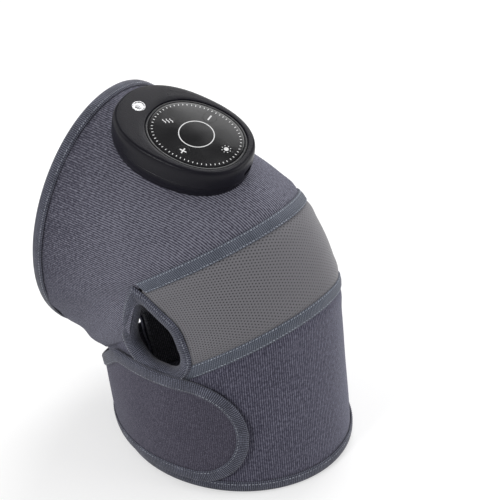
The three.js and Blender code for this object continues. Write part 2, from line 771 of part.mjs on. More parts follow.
const topFoot = base.parting + ease;
const topLevels = [
  [topFoot, 0],
  [unit.height - face.drop, 0],
  ...faceEdgeShares.map(([down, inwards]) => [unit.height - face.drop * down, face.inset * inwards]),
];
const topOuter = loftSolid(topLevels, unit.halfLength, unit.halfWidth, 0, unit.cornerShare);
const topCavity = ovalPrism(unit.halfLength - unit.wall, unit.halfWidth - unit.wall, 0, deck.ceiling);
const topPosts = housingPosts.flatMap(([x, y]) => [
  cylinder(post.radius, topFoot, deck.ceiling + ease, x, y),
  cylinder(post.shoulder, deck.boardTop + ease, deck.ceiling + ease, x, y),
]);
const postBores = housingPosts.map(([x, y]) => cylinder(screw.radius + ease, 0, deck.boardTop + ease, x, y));
const badgeX = lens.forward - badge.back;
const topHousing = minus(
  plus(minus(topOuter, topCavity), ...topPosts),
  lensPrism(groove.width, unit.height - groove.depth, unit.height + overrun),
  cylinder(badge.radius + ease, unit.height - badge.thickness, unit.height + overrun, badgeX, 0, keySteps),
  alongNose(port.clearance, unit.halfLength - unit.wall - port.length, unit.halfLength + overrun),
  ...keyBores,
  ...postBores,
);
addPiece(unitGroup, 'top_housing', topHousing, housingPlastic);

// Base housing: its underside follows the wrap

const baseLevels = [
  ...skirtEdgeShares.map(([up, tuck]) => [base.skirt * up, base.inset + base.tuck * tuck]),
  [base.parting, base.inset],
];
const baseOuter = loftSolid(baseLevels, unit.halfLength, unit.halfWidth, 0, unit.cornerShare);
const baseWall = unit.wall + base.inset;
const baseCavity = ovalPrism(unit.halfLength - baseWall, unit.halfWidth - baseWall, base.floor, overrun);
const basePads = housingPosts.map(([x, y]) => cylinder(post.shoulder, 0, base.parting, x, y));
const headSeat = base.floor - ease;
const baseBores = [
  ...housingPosts.map(([x, y]) => cylinder(screw.headRadius + ease, -overrun, headSeat, x, y)),
  ...[...housingPosts, ...platePlaces].map(([x, y]) => cylinder(screw.radius + ease, -overrun, overrun, x, y)),
];
const wrapEnvelope = inUnit(wrapShell(-overrun / 2, ease));
const baseHousing = minus(plus(minus(baseOuter, baseCavity), ...basePads), wrapEnvelope, ...baseBores);
addPiece(unitGroup, 'base_housing', baseHousing, housingPlastic);

housingPosts.forEach(([x, y], index) => {
  const headTop = headSeat - ease;
  const head = cylinder(screw.headRadius, headTop - screw.headHeight, headTop, x, y);
  const shank = cylinder(screw.radius, headTop - screw.headHeight / 2, deck.boardTop, x, y);
  addPiece(unitGroup, 'housing_screw_' + (index + 1), plus(head, shank), steel);
});

// Glossy panel, the ring round it, the keys in it and the plain disc behind it

const lensLevels = [
  [lensFoot, 0],
  ...lensEdgeShares.map(([down, inwards]) => [lensTop - lensEdge.drop * down, lensEdge.inset * inwards]),
];
const lensBody = loftSolid(lensLevels, lens.halfLength, lens.halfWidth, lens.forward, lens.cornerShare);
addPiece(unitGroup, 'control_lens', minus(lensBody, ...keyBores), glossyBlack);

const ringSolid = minus(
  lensPrism(groove.width - ease, lensFoot, unit.height - groove.ringSink),
  lensPrism(ease, 0, unit.height + overrun),
);
addPiece(unitGroup, 'trim_ring', ringSolid, darkPlastic);

const lipTop = deck.ceiling - ease;
for (const [name, { x, y, radius }] of Object.entries(keyPlaces)) {
  const profile = [
    [0, lipTop - key.lip],
    [radius + key.lip, lipTop - key.lip],
    [radius + key.lip, lipTop],
    [radius, lipTop],
    [radius, lensTop - key.chamfer],
    [radius - key.chamfer, lensTop],
    [0, lensTop],
  ];
  const turned = new THREE.LatheGeometry(profile.map((place) => new THREE.Vector2(...place)), keySteps);
  turned.rotateX(Math.PI / 2);
  addPiece(unitGroup, name, solidOf(turned.translate(x, y, 0)), glossyBlack);
}

const badgeFoot = unit.height - badge.thickness + ease;
const badgeSolid = cylinder(badge.radius, badgeFoot, unit.height + badge.proud, badgeX, 0, keySteps);
addPiece(unitGroup, 'badge_disc', badgeSolid, brightMetal);

// Inside the control unit: board with its switches, mat under the keys, battery, motor and socket

const boardInset = unit.wall + deck.boardMargin;
const boardSolid = minus(
  ovalPrism(unit.halfLength - boardInset, unit.halfWidth - boardInset, boardFoot, deck.boardTop),
  ...housingPosts.map(([x, y]) => cylinder(post.radius + ease, 0, overrun, x, y)),
);
addPiece(unitGroup, 'circuit_board', boardSolid, boardGreen);

const switchFoot = deck.boardTop + ease;
const switchTop = switchFoot + tactSwitch.height;
Object.values(keyPlaces).forEach(({ x, y }, index) => {
  const block = new THREE.BoxGeometry(tactSwitch.side, tactSwitch.side, tactSwitch.body);
  block.translate(x, y, switchFoot + tactSwitch.body / 2);
  const stem = cylinder(tactSwitch.stemRadius, switchFoot + tactSwitch.body / 2, switchTop, x, y);
  addPiece(unitGroup, 'tact_switch_' + (index + 1), plus(solidOf(block), stem), darkPlastic);
});

const matFoot = switchTop + ease;
const matSolid = minus(
  lensPrism(-ease, matFoot, matFoot + deck.matThickness),
  ...housingPosts.map(([x, y]) => cylinder(post.shoulder + ease, 0, overrun, x, y)),
);
addPiece(unitGroup, 'keypad_mat', matSolid, rubber);

const cellFoot = base.floor + ease;
const batteryShape = new THREE.BoxGeometry(battery.length, battery.width, battery.thickness);
batteryShape.translate(-battery.back, 0, cellFoot + battery.thickness / 2);
addPiece(unitGroup, 'battery', solidOf(batteryShape), cellWrap);

const motorSolid = cylinder(motor.radius, cellFoot, cellFoot + motor.thickness, motor.forward, 0, keySteps);
addPiece(unitGroup, 'vibration_motor', motorSolid, steel);

const socketNose = unit.halfLength - port.sink;
const socketBack = socketNose - port.length;
const tongue = new THREE.BoxGeometry(port.length - port.wall, port.width / 2, port.tongue);
tongue.translate(socketBack + port.length / 2, 0, portHeight);
const socketMouth = alongNose(-port.wall, socketBack + port.wall, socketNose + overrun);
const socketSolid = plus(minus(alongNose(0, socketBack, socketNose), socketMouth), solidOf(tongue));
addPiece(unitGroup, 'usb_c_socket', socketSolid, steel);

assembly.add(unitGroup);

// Origin: below the middle of the object's box, on the surface it stands on

assembly.updateMatrixWorld(true);
const box = new THREE.Box3().setFromObject(assembly, true);
const middle = box.getCenter(new THREE.Vector3());
const group = new THREE.Group();
assembly.position.set(-middle.x, -middle.y, -box.min.z);
group.add(assembly);

export default group;
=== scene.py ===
import json
import math
from contextlib import contextmanager
from functools import lru_cache
from types import SimpleNamespace

import bpy
from mathutils import Matrix, Vector, noise

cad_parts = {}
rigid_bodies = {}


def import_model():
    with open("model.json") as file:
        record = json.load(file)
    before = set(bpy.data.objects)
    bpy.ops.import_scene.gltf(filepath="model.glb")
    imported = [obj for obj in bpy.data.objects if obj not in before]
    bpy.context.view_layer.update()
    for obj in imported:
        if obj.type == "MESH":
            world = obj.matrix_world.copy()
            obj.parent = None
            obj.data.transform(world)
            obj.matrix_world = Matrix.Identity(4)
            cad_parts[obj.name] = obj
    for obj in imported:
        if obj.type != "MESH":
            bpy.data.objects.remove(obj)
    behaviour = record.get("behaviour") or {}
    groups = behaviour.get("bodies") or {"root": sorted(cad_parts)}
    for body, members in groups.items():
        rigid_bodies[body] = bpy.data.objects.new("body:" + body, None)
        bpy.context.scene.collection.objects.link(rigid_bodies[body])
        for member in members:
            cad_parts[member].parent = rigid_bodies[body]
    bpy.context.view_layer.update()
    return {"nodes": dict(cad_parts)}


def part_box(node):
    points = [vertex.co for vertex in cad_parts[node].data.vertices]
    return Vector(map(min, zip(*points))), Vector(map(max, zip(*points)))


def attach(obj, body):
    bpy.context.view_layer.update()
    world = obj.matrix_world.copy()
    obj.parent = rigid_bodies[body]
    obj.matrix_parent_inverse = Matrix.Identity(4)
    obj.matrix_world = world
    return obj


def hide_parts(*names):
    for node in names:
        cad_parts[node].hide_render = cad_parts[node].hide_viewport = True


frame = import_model()


# Thigh fabric: a ribbed knit laminated to thin foam, cut as the upper tube of a bent leg. It is sewn to
# the knee panel under the upper seam tape, and to the calf fabric in the crease behind the knee.

calf_cuff_depth = 0.170
calf_cuff_width = 0.160
knee_height = 0.133
knee_depth = 0.163
knee_width = 0.147
knee_inset = 0.022
crease_round = 0.004
front_round = 0.068
thigh_rise = math.radians(8)
thigh_length = 0.116
thigh_cuff_depth = 0.188
thigh_cuff_width = 0.157
back_gap = math.radians(8)
fabric_thickness = 0.0024
tape_lift = 0.0003
binding_thickness = 0.0009
binding_width = 0.009
edge_out = tape_lift + binding_thickness

forward = Vector((1, 0, 0))
sideways = Vector((0, 1, 0))
thigh_axis = Vector((-math.cos(thigh_rise), 0, math.sin(thigh_rise)))
thigh_up = Vector((math.sin(thigh_rise), 0, math.cos(thigh_rise)))
calf_axis = Vector((0, 0, -1))
knee_out = -(thigh_axis + calf_axis).normalized()
knee_stretch = 1 / math.sin(knee_out.angle(-calf_axis))
knee_axis_point = Vector((0, 0, knee_height))
knee_middle = knee_axis_point - knee_out * knee_inset
thigh_cuff_middle = knee_axis_point + thigh_axis * thigh_length


def oval(middle, direction, half_depth, half_width, turn):
    return middle + direction * half_depth * math.cos(turn) + sideways * half_width * math.sin(turn)


@lru_cache(maxsize=None)
def leg_line(turn, offset):
    """The line up the wrap at an angle round the leg: its ends, its knee corner and that corner's round."""
    cuff = oval(Vector(), forward, calf_cuff_depth / 2 + offset, calf_cuff_width / 2 + offset, turn)
    bend_depth = (knee_depth / 2 + offset) * knee_stretch
    bend = oval(knee_middle, knee_out, bend_depth, knee_width / 2 + offset, turn)
    top = oval(thigh_cuff_middle, thigh_up, thigh_cuff_depth / 2 + offset, thigh_cuff_width / 2 + offset,
               turn)
    to_calf = (cuff - bend).normalized()
    to_thigh = (top - bend).normalized()
    bend_round = crease_round + (front_round - crease_round) * (1 + math.cos(turn)) / 2
    weight = math.sin(to_calf.angle(to_thigh) / 2)
    return cuff, bend, top, bend + to_calf * bend_round, bend + to_thigh * bend_round, weight


def on_leg(turn, share, offset=0):
    """A point of the wrap, whose share goes to 1 up the calf, to 2 round the knee and to 3 up the thigh."""
    cuff, bend, top, calf_end, thigh_end, weight = leg_line(turn, offset)
    if share <= 1:
        return cuff.lerp(calf_end, share)
    if share >= 2:
        return thigh_end.lerp(top, share - 2)
    t = share - 1
    pulls = ((1 - t) ** 2, 2 * weight * t * (1 - t), t ** 2)
    return (calf_end * pulls[0] + bend * pulls[1] + thigh_end * pulls[2]) / sum(pulls)


def from_cuff(end, turn, inwards, offset):
    """A point of the wrap at a distance in from its calf or thigh cuff."""
    cuff, bend, top = leg_line(turn, offset)[:3]
    start = cuff if end == "calf" else top
    return start + (bend - start).normalized() * inwards


calf_rim_low, calf_rim_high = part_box("calf_cuff_binding")
calf_rim_front = from_cuff("calf", 0, -edge_out, edge_out)
wrap_shift = Vector((
    calf_rim_high.x - calf_rim_front.x,
    (calf_rim_low.y + calf_rim_high.y) / 2,
    calf_rim_low.z - calf_rim_front.z,
))


def spread(start, stop, steps):
    return [start + (stop - start) * step / steps for step in range(steps + 1)]


def stretches(*spans):
    """Stations over several spans that follow on from each other, each with its own count of steps."""
    return spread(*spans[0]) + [station for span in spans[1:] for station in spread(*span)[1:]]


def run_lengths(points):
    lengths = [0]
    for previous, point in zip(points, points[1:]):
        lengths.append(lengths[-1] + (point - previous).length)
    return lengths


def start_alone(piece=None):
    """Deselects everything, and takes up one piece where one is given."""
    if bpy.context.mode != "OBJECT":
        bpy.ops.object.mode_set(mode="OBJECT")
    bpy.ops.object.select_all(action="DESELECT")
    if piece:
        piece.select_set(True)
        bpy.context.view_layer.objects.active = piece


@contextmanager
def whole_mesh():
    """Edit mode on all of the mesh in hand."""
    bpy.ops.object.mode_set(mode="EDIT")
    bpy.ops.mesh.select_all(action="SELECT")
    yield
    bpy.ops.object.mode_set(mode="OBJECT")


def lay_grid(name, stations, section, place, shift=wrap_shift, closed=False, gauge=None):
    """A grid whose corners are laid by place. Its UV map has real lengths, measured along its gauge row."""
    gauge = len(section) // 2 if gauge is None else gauge
    start_alone()
    columns = len(stations) - 1
    rows = len(section) - 1
    bpy.ops.mesh.primitive_grid_add(x_subdivisions=columns, y_subdivisions=rows, size=2)
    piece = bpy.context.object
    piece.name = piece.data.name = name
    corners = [
        (round((vertex.co.x + 1) / 2 * columns), round((vertex.co.y + 1) / 2 * rows))
        for vertex in piece.data.vertices
    ]
    along = run_lengths([place(station, section[gauge]) for station in stations])
    across = run_lengths([place(stations[len(stations) // 2], point) for point in section])
    for loop, mark in zip(piece.data.loops, piece.data.uv_layers.active.data):
        column, row = corners[loop.vertex_index]
        mark.uv = (along[column], across[row])
    for vertex, (column, row) in zip(piece.data.vertices, corners):
        vertex.co = place(stations[column], section[row]) + shift
    if closed:
        weld()
    return piece


def weld():
    """Joins the corners that meet, and points all faces out."""
    with whole_mesh():
        bpy.ops.mesh.remove_doubles(threshold=0.000004)
        bpy.ops.mesh.normals_make_consistent(inside=False)


def use_modifier(piece, kind, **settings):
    bpy.context.view_layer.objects.active = piece
    modifier = piece.modifiers.new(kind.title(), kind)
    for setting, value in settings.items():
        setattr(modifier, setting, value)
    bpy.ops.object.modifier_apply(modifier=modifier.name)


rim_angle = math.radians(60)


def thicken(piece, thickness, rim=0.4):
    """Gives a laid sheet its thickness, half to each side, and rounds its rims."""
    use_modifier(piece, "SOLIDIFY", thickness=thickness, offset=0, use_even_offset=True)
    weld()
    use_modifier(piece, "BEVEL", width=thickness * rim, segments=2, limit_method="ANGLE",
                 angle_limit=rim_angle)


def cut_off(piece, point, normal, chosen=lambda place: True, drop=True):
    """Cuts the chosen faces with a plane and drops what is behind it, or only adds the edges of the cut."""
    start_alone(piece)
    for polygon in piece.data.polygons:
        polygon.select = chosen(polygon.center)
    bpy.ops.object.mode_set(mode="EDIT")
    bpy.ops.mesh.select_mode(type="FACE")
    bpy.ops.mesh.bisect(plane_co=point + wrap_shift, plane_no=normal, clear_inner=drop)
    bpy.ops.mesh.select_mode(type="VERT")
    bpy.ops.object.mode_set(mode="OBJECT")


seam_tilt = math.radians(33)
upper_level = 0.023
lower_level = -0.042
seam_normal = Vector((-math.sin(seam_tilt), 0, math.cos(seam_tilt)))
crease_normal = Vector((-knee_out.z, 0, knee_out.x))

vent_reach = 0.020
vent_middle = knee_middle + Vector((0.005, 0, -0.012))
vent_lobe_shares = [(-0.71, 1.03, 0.18), (-0.27, -0.1, 0.89), (0.23, -0.42, 0.56), (-0.63, -0.24, 0.54)]
vent_lobes = [
    (vent_middle.x + ahead * vent_reach, vent_middle.z + up * vent_reach, radius * vent_reach)
    for ahead, up, radius in vent_lobe_shares
]
vent_tip = Vector((vent_lobes[0][0], 0, 0))
vent_foot = Vector((vent_lobes[2][0] + 0.005, 0, 0))
through_leg = 0.3


def seam_height(point):
    """How far a point lies above the middle plane of the knee panel."""
    return (point - knee_axis_point).dot(seam_normal)


def bar_hull(bars, depth, rotation, sides):
    """One closed form round some parallel bars, each given by its middle and its radius."""
    start_alone()
    for middle, radius in bars:
        bpy.ops.mesh.primitive_cylinder_add(vertices=sides, radius=radius, depth=depth, location=middle,
                                            rotation=rotation)
        bpy.context.object.name = "bar"
    for bar in bpy.data.objects:
        bar.select_set(bar.name.startswith("bar"))
    bpy.ops.object.join()
    with whole_mesh():
        bpy.ops.mesh.convex_hull()
    bpy.ops.object.transform_apply()
    return bpy.context.object


def carve(piece, cutters, operation="DIFFERENCE"):
    """Cuts forms out of a piece, or adds them to it."""
    for cutter in cutters:
        use_modifier(piece, "BOOLEAN", object=cutter, operation=operation, solver="EXACT")
        bpy.data.objects.remove(cutter)


def cut_vents(piece, grow):
    """Cuts a vent-shaped hole, grown by an amount, through both sides of a piece."""
    bars = [(Vector((x, 0, z)) + wrap_shift, radius + grow) for x, z, radius in vent_lobes]
    carve(piece, [bar_hull(bars, through_leg, (math.pi / 2, 0, 0), 48)])


def hump(away, width):
    """A rounded rise: 1 in its middle, and fading out at some distance from it."""
    return math.exp(-(away / width) ** 2)


fabric_ripple = 0.0005
ripple_scale = 22
crease_fade = 0.02
crease_swell = 0.0035
crease_swell_place = 0.009
crease_swell_width = 0.008
seam_swell = 0.0008
seam_swell_place = 0.010
seam_swell_width = 0.0055
seam_dip = 0.0006
seam_dip_width = 0.0042


def round_seams(point):
    """How far the fabric stands out at a point: it swells beside a seam and is drawn in under its tape."""
    height = seam_height(point)
    rise = noise.noise(point * ripple_scale) * fabric_ripple
    over_crease = (point - knee_middle).dot(crease_normal)
    if point.x < vent_tip.x and over_crease > 0:
        fade = min(1, (vent_tip.x - point.x) / crease_fade)
        rise += crease_swell * hump(over_crease - crease_swell_place, crease_swell_width) * fade
    for level in (upper_level, lower_level):
        away = abs(height - level)
        rise += (seam_swell * hump(away - seam_swell_place, seam_swell_width)
                 - seam_dip * hump(away, seam_dip_width))
    return rise


def on_fabric(turn, share):
    middle = -fabric_thickness / 2
    return on_leg(turn, share, middle + round(round_seams(on_leg(turn, share, middle)), 5))


def add_node(material, kind, links=(), values=(), **settings):
    """Adds a node, sets it up and wires its inputs from other nodes' outputs."""
    node = material.node_tree.nodes.new(kind)
    for setting, value in settings.items():
        setattr(node, setting, value)
    for socket, value in dict(values).items():
        node.inputs[socket].default_value = value
    for socket, source in dict(links).items():
        material.node_tree.links.new(source, node.inputs[socket])
    return node


def start_material(name, roughness, **sockets):
    """A new material, with its constants set on the shader's own sockets."""
    material = bpy.data.materials.new(name)
    material.use_nodes = True
    for socket, value in {"roughness": roughness, **sockets}.items():
        socket = socket.replace("_", " ").title().replace("Ior", "IOR")
        material.node_tree.nodes["Principled BSDF"].inputs[socket].default_value = value
    return material


def drive(material, socket, output):
    """Wires a pattern to one of the shader's sockets."""
    material.node_tree.links.new(output, material.node_tree.nodes["Principled BSDF"].inputs[socket])


def color_ramp(material, factor, *stops):
    ramp = add_node(material, "ShaderNodeValToRGB", {"Fac": factor})
    ramp.color_ramp.elements[0].position = stops[0][0]
    ramp.color_ramp.elements[1].position = stops[-1][0]
    for place, _ in stops[1:-1]:
        ramp.color_ramp.elements.new(place)
    for element, (_, color) in zip(ramp.color_ramp.elements, stops):
        element.color = (*color, 1)
    return ramp.outputs["Color"]


def add_up(material, *shares):
    """Adds several values, each times its share."""
    total = None
    for value, share in shares:
        scaled = add_node(material, "ShaderNodeMath", {0: value}, {1: share}, operation="MULTIPLY")
        if total is None:
            total = scaled.outputs[0]
        else:
            total = add_node(material, "ShaderNodeMath", {0: total, 1: scaled.outputs[0]}).outputs[0]
    return total


def paint(material, factor, *stops):
    drive(material, "Base Color", color_ramp(material, factor, *stops))


def raise_surface(material, height, distance):
    bump = add_node(material, "ShaderNodeBump", {"Height": height}, {"Distance": distance, "Strength": 1.0})
    drive(material, "Normal", bump.outputs["Normal"])


def solid_place(material):
    return add_node(material, "ShaderNodeTexCoord").outputs["Object"]


def cloth_place(material, lean=0):
    """Place on a cloth's own UV map, turned by some degrees."""
    flat = add_node(material, "ShaderNodeUVMap").outputs["UV"]
    rotation = {"Rotation": (0, 0, math.radians(lean))}
    return add_node(material, "ShaderNodeMapping", {"Vector": flat}, rotation).outputs["Vector"]


wave_period = math.pi / 10


def waves(material, vector, direction, pitch, distortion=0.0, detail_scale=1.0):
    """Even ribs across a direction, at a real pitch."""
    values = {"Scale": wave_period / pitch, "Distortion": distortion, "Detail": 1.0,
              "Detail Scale": detail_scale}
    wave = add_node(material, "ShaderNodeTexWave", {"Vector": vector}, values, bands_direction=direction)
    return wave.outputs["Fac"]


def grain(material, vector, scale, detail=2.0):
    values = {"Scale": scale, "Detail": detail}
    return add_node(material, "ShaderNodeTexNoise", {"Vector": vector}, values).outputs["Fac"]


def stretched(material, vector, scale):
    return add_node(material, "ShaderNodeMapping", {"Vector": vector}, {"Scale": scale}).outputs["Vector"]


knit_tint = (0.72, 0.74, 0.86, 1)


def knit(name, colors, rib_pitch, rib_share, sheen, lean=0.0, worn=1.0, thread_share=0.66):
    """Ribbed knit: broken light threads on raised ribs. Where a share below 1 is given, the ribs fade to it
    towards low X, which also makes the knit a little darker there.
    """
    material = start_material(name, 0.92, sheen_weight=sheen, sheen_roughness=0.45, sheen_tint=knit_tint,
                              specular_ior_level=0.2)
    cloth = cloth_place(material, lean)
    solid = solid_place(material)
    ribs = waves(material, cloth, "X", rib_pitch, 1.2, 0.6)
    ahead = add_node(material, "ShaderNodeSeparateXYZ", {"Vector": solid}).outputs["X"]
    # Towards low X the ribs fade to the given share, and the knit turns a little darker there.
    fade = {"From Min": -0.10, "From Max": -0.03, "To Min": worn, "To Max": 1.0}
    clear = add_node(material, "ShaderNodeMapRange", {"Value": ahead}, fade).outputs["Result"]
    clear_ribs = add_node(material, "ShaderNodeMath", {0: ribs, 1: clear}, operation="MULTIPLY").outputs[0]
    threads = grain(material, stretched(material, cloth, (1 / rib_pitch, 420, 1)), 1.0, 3.0)
    fuzz = grain(material, solid, 1500)
    patches = grain(material, solid, 60)
    tone = add_up(material, (clear_ribs, rib_share), (threads, thread_share), (fuzz, 1.08 - thread_share),
                  (patches, 0.08))
    paint(material, tone, *zip((0.42, 0.68, 0.95), colors))
    raise_surface(material, tone, 0.0006)
    return material


def dress(piece, material, slot, body, *nodes):
    """Gives a piece its finish, and lets it ride on a body in place of its CAD nodes."""
    piece.data.materials.clear()
    piece.data.materials.append(material)
    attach(piece, body)
    if nodes:
        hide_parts(*nodes)


def smooth(piece, angle=35):
    start_alone(piece)
    bpy.ops.object.shade_smooth_by_angle(angle=math.radians(angle))


seam_gap = 0.00015
panel_gap = 0.00005


def make_up(piece, thickness, rim, material, slot, node):
    """Gives a cut cloth its thickness, its vents and its finish."""
    thicken(piece, thickness, rim)
    cut_vents(piece, edge_out)
    smooth(piece, 50)
    dress(piece, material, slot, "wrap", node)


def cut_seam(piece, level, way, chosen=lambda place: True):
    """Cuts a sheet just short of a seam of the knee panel, and keeps what is above (way 1) or below (-1)."""
    cut_off(piece, knee_axis_point + seam_normal * (level + way * seam_gap), seam_normal * way, chosen)


def cut_crease(piece, way, chosen=lambda place: True):
    """Cuts a sheet just short of the crease behind the knee in the same way."""
    cut_off(piece, knee_middle + crease_normal * seam_gap * way, crease_normal * way, chosen)


def is_ahead_of(mark):
    return lambda place: place.x > mark.x + wrap_shift.x


def is_behind(place):
    return place.x < vent_tip.x + wrap_shift.x


rib_pitch = 0.00157
rib_lean = -7.0
knit_colors = ((0.020, 0.019, 0.031), (0.074, 0.072, 0.100), (0.26, 0.26, 0.32))
thigh_knit = knit("thigh_knit", knit_colors, rib_pitch, 0.40, 0.25, rib_lean, 0.3)
fabric_turns = spread(-math.pi + back_gap, math.pi - back_gap, 220)
thigh_fabric = lay_grid("thigh_fabric", fabric_turns, stretches((1.0, 2.0, 30), (2.0, 2.97, 34)), on_fabric)
cut_off(thigh_fabric, vent_tip, forward, drop=False)
cut_seam(thigh_fabric, upper_level, 1, is_ahead_of(vent_tip))
cut_crease(thigh_fabric, 1, is_behind)
make_up(thigh_fabric, fabric_thickness, 0.25, thigh_knit, "wrap_fabric", "thigh_panel")


# Calf fabric: the same ribbed knit round the shin and calf, in darker colours than the thigh's as painted
# shade. It is sewn to the knee panel under the lower seam tape, and its bound edge is what the wrap stands
# on.

calf_fabric = lay_grid("calf_fabric", fabric_turns, stretches((0.03, 1.0, 34), (1.0, 2.0, 30)), on_fabric)
cut_off(calf_fabric, vent_tip, forward, drop=False)
cut_off(calf_fabric, vent_foot, forward, drop=False)


def is_under_vent(place):
    return not is_behind(place) and place.x < vent_foot.x + wrap_shift.x


cut_seam(calf_fabric, lower_level, -1, is_ahead_of(vent_foot))
cut_off(calf_fabric, vent_middle, calf_axis, is_under_vent)
cut_crease(calf_fabric, -1, is_behind)
# The calf's knit colours are the thigh's, darkened as painted shade so that the calf looks less lit.
shaded_calf_colors = ((0.015, 0.014, 0.025), (0.056, 0.053, 0.083), (0.20, 0.195, 0.26))
shaded_calf_knit = knit("shaded_calf_knit", shaded_calf_colors, rib_pitch, 0.28, 0.6)
make_up(calf_fabric, fabric_thickness, 0.25, shaded_calf_knit, "wrap_fabric", "calf_panel")


# Knee panel: a stretch fabric with rows of fine round perforations, over the kneecap between the two
# seams and the two vents, so that it gives when the knee bends.

band_turns = spread(math.radians(-112), math.radians(112), 150)
band_shares = stretches((0.3, 1.0, 20), (1.0, 2.0, 40), (2.0, 2.6, 14))
knee_panel = lay_grid("knee_panel", band_turns, band_shares, on_fabric)
cut_off(knee_panel, vent_tip + forward * panel_gap, forward)
cut_off(knee_panel, vent_foot, forward, lambda place: place.z < vent_middle.z + wrap_shift.z)
cut_seam(knee_panel, lower_level, 1)
cut_seam(knee_panel, upper_level, -1)

hole_pitch = 0.0023
band_low = (0.012, 0.012, 0.014)
band_middle = (0.155, 0.151, 0.165)
band_high = (0.215, 0.210, 0.228)


def perforated(name):
    """Three even waves at a third of a turn to each other are low together only at the holes."""
    material = start_material(name, 0.85, sheen_weight=0.45, sheen_roughness=0.4, specular_ior_level=0.25)
    solid = solid_place(material)
    row_pitch = hole_pitch * math.sqrt(3) / 2
    rows = [(waves(material, cloth_place(material, lean), "X", row_pitch), 1 / 3) for lean in (0, 60, 120)]
    holes = add_up(material, *rows, (grain(material, solid, 1600), 0.06))
    tone = add_up(material, (holes, 0.8), (grain(material, solid, 1800), 0.2))
    paint(material, tone, (0.20, band_low), (0.31, band_middle), (0.75, band_high))
    raise_surface(material, color_ramp(material, holes, (0.08, (0, 0, 0)), (0.26, (1, 1, 1))), 0.0005)
    return material


make_up(knee_panel, fabric_thickness, 0.25, perforated("knee_mesh"), "band_fabric", "knee_band")


# Lining: a soft brushed knit on foam against the leg, in an upper and a lower tube that meet in the
# crease plane. It is held with the outer fabric in the bindings.

lining_thickness = 0.0034
lining_middle = -0.0053


def on_lining(turn, share):
    return on_leg(turn, share, lining_middle)


lining_colors = ((0.018, 0.018, 0.022), (0.068, 0.068, 0.079), (0.27, 0.27, 0.31))
lining_pile = knit("lining_pile", lining_colors, 0.0016, 0.2, 0.15)
lining_turns = spread(-math.pi + back_gap, math.pi - back_gap, 150)
thigh_inner = lay_grid("thigh_inner", lining_turns, stretches((1.0, 2.0, 20), (2.0, 2.97, 14)), on_lining)
cut_crease(thigh_inner, 1)
calf_inner = lay_grid("calf_inner", lining_turns, stretches((0.03, 1.0, 14), (1.0, 2.0, 20)), on_lining)
cut_crease(calf_inner, -1)
make_up(thigh_inner, lining_thickness, 0.3, lining_pile, "lining_fabric", "thigh_lining")
make_up(calf_inner, lining_thickness, 0.3, lining_pile, "lining_fabric", "calf_lining")


# Heater: an etched foil between amber films behind the knee panel, and its flat lead to the control unit.
# Both lie loose between the outer fabric and the lining.

film_material = start_material("amber_film", 0.35, coat_weight=0.4)
film_tracks = waves(film_material, solid_place(film_material), "Z", 0.006, 2.0, 40.0)
paint(film_material, film_tracks, (0.45, (0.50, 0.20, 0.05)), (0.55, (0.62, 0.34, 0.16)))
raise_surface(film_material, film_tracks, 0.0001)


def finish_nodes(material, *nodes):
    """Gives CAD nodes that are kept as they are their finish."""
    for node in nodes:
        materials = frame["nodes"][node].data.materials
        materials.clear()
        materials.append(material)


finish_nodes(film_material, "heating_film", "heater_lead")


# Seam tapes: ribbed elastic tape laid over the joins above and below the knee panel, held along both
# edges by a row of pale cover stitches.

tape_width = 0.0085
tape_thickness = 0.0008


def find_share(low, high, rounds, falls_short):
    """Halves a stretch of the wrap over and over, to find the share from which it no longer falls short."""
    for _ in range(rounds):
        middle = (low + high) / 2
        if falls_short(middle):
            low = middle
        else:
            high = middle
    return low


def tape_share(turn, level):
    """Share of the wrap at which a line round the leg meets a seam plane."""
    return find_share(0.0, 3.0, 22, lambda share: seam_height(on_leg(turn, share)) < level)


def lobe_reach(lobe, turn):
    """How far a lobe of a vent reaches in a direction, seen from the side of the leg."""
    x, z, radius = lobe
    return x * math.cos(turn) + z * math.sin(turn) + radius


def vent_distance(point):
    """How far a point, seen from the side of the leg, lies outside a vent."""
    here = (point.x, point.z, 0)
    return max(
        lobe_reach(here, turn) - max(lobe_reach(lobe, turn) for lobe in vent_lobes)
        for turn in spread(0, 2 * math.pi, 48)
    )


def tape_end(level, room):
    """Angle round the leg at which a seam comes within some room of the vents, or level with their tips."""
    turn = 0.0
    point = on_leg(turn, tape_share(turn, level))
    while vent_distance(point) > room and point.x > vent_tip.x:
        turn += math.radians(0.5)
        point = on_leg(turn, tape_share(turn, level))
    return turn


tape_rib_pitch = 0.00135
tape_row_pitch = 0.0011


def elastic(name, colors, rib_share):
    """Woven elastic tape: fine ribs across it, with a duller ground between them."""
    material = start_material(name, 0.85, sheen_weight=0.2, sheen_roughness=0.5)
    cloth = cloth_place(material)
    solid = solid_place(material)
    ribs = waves(material, cloth, "X", tape_rib_pitch, 0.5, 1.0)
    rows = waves(material, cloth, "Y", tape_row_pitch, 0.8, 1.0)
    fuzz = grain(material, solid, 1400)
    patches = grain(material, solid, 90)
    tone = add_up(material, (ribs, rib_share), (rows, 0.14), (fuzz, 0.82 - rib_share), (patches, 0.2))
    paint(material, tone, *zip((0.35, 0.6, 0.88), colors))
    raise_surface(material, tone, 0.0004)
    return material


tape_colors = ((0.028, 0.034, 0.050), (0.080, 0.092, 0.124), (0.22, 0.24, 0.30))
tape_weave = elastic("tape_weave", tape_colors, 0.40)


def thread(name, low, high, patch_scale):
    """Sewing thread with random patches of painted light and shade: a painted highlight where it would lie
    proud, and painted shade where it would be drawn in.
    """
    material = start_material(name, 0.6, sheen_weight=0.3)
    solid = solid_place(material)
    twist = grain(material, solid, 2500)
    # Random patches of painted light and shade: the light end stands for a lit, proud stitch, the dark end
    # for a shaded, drawn-in one.
    painted_light_and_shade = grain(material, solid, patch_scale)
    paint(material, add_up(material, (twist, 0.4), (painted_light_and_shade, 0.6)), (0.4, low), (0.6, high))
    raise_surface(material, twist, 0.0001)
    return material


pale_thread = thread("pale_thread", (0.20, 0.23, 0.29), (0.50, 0.54, 0.62), 400)

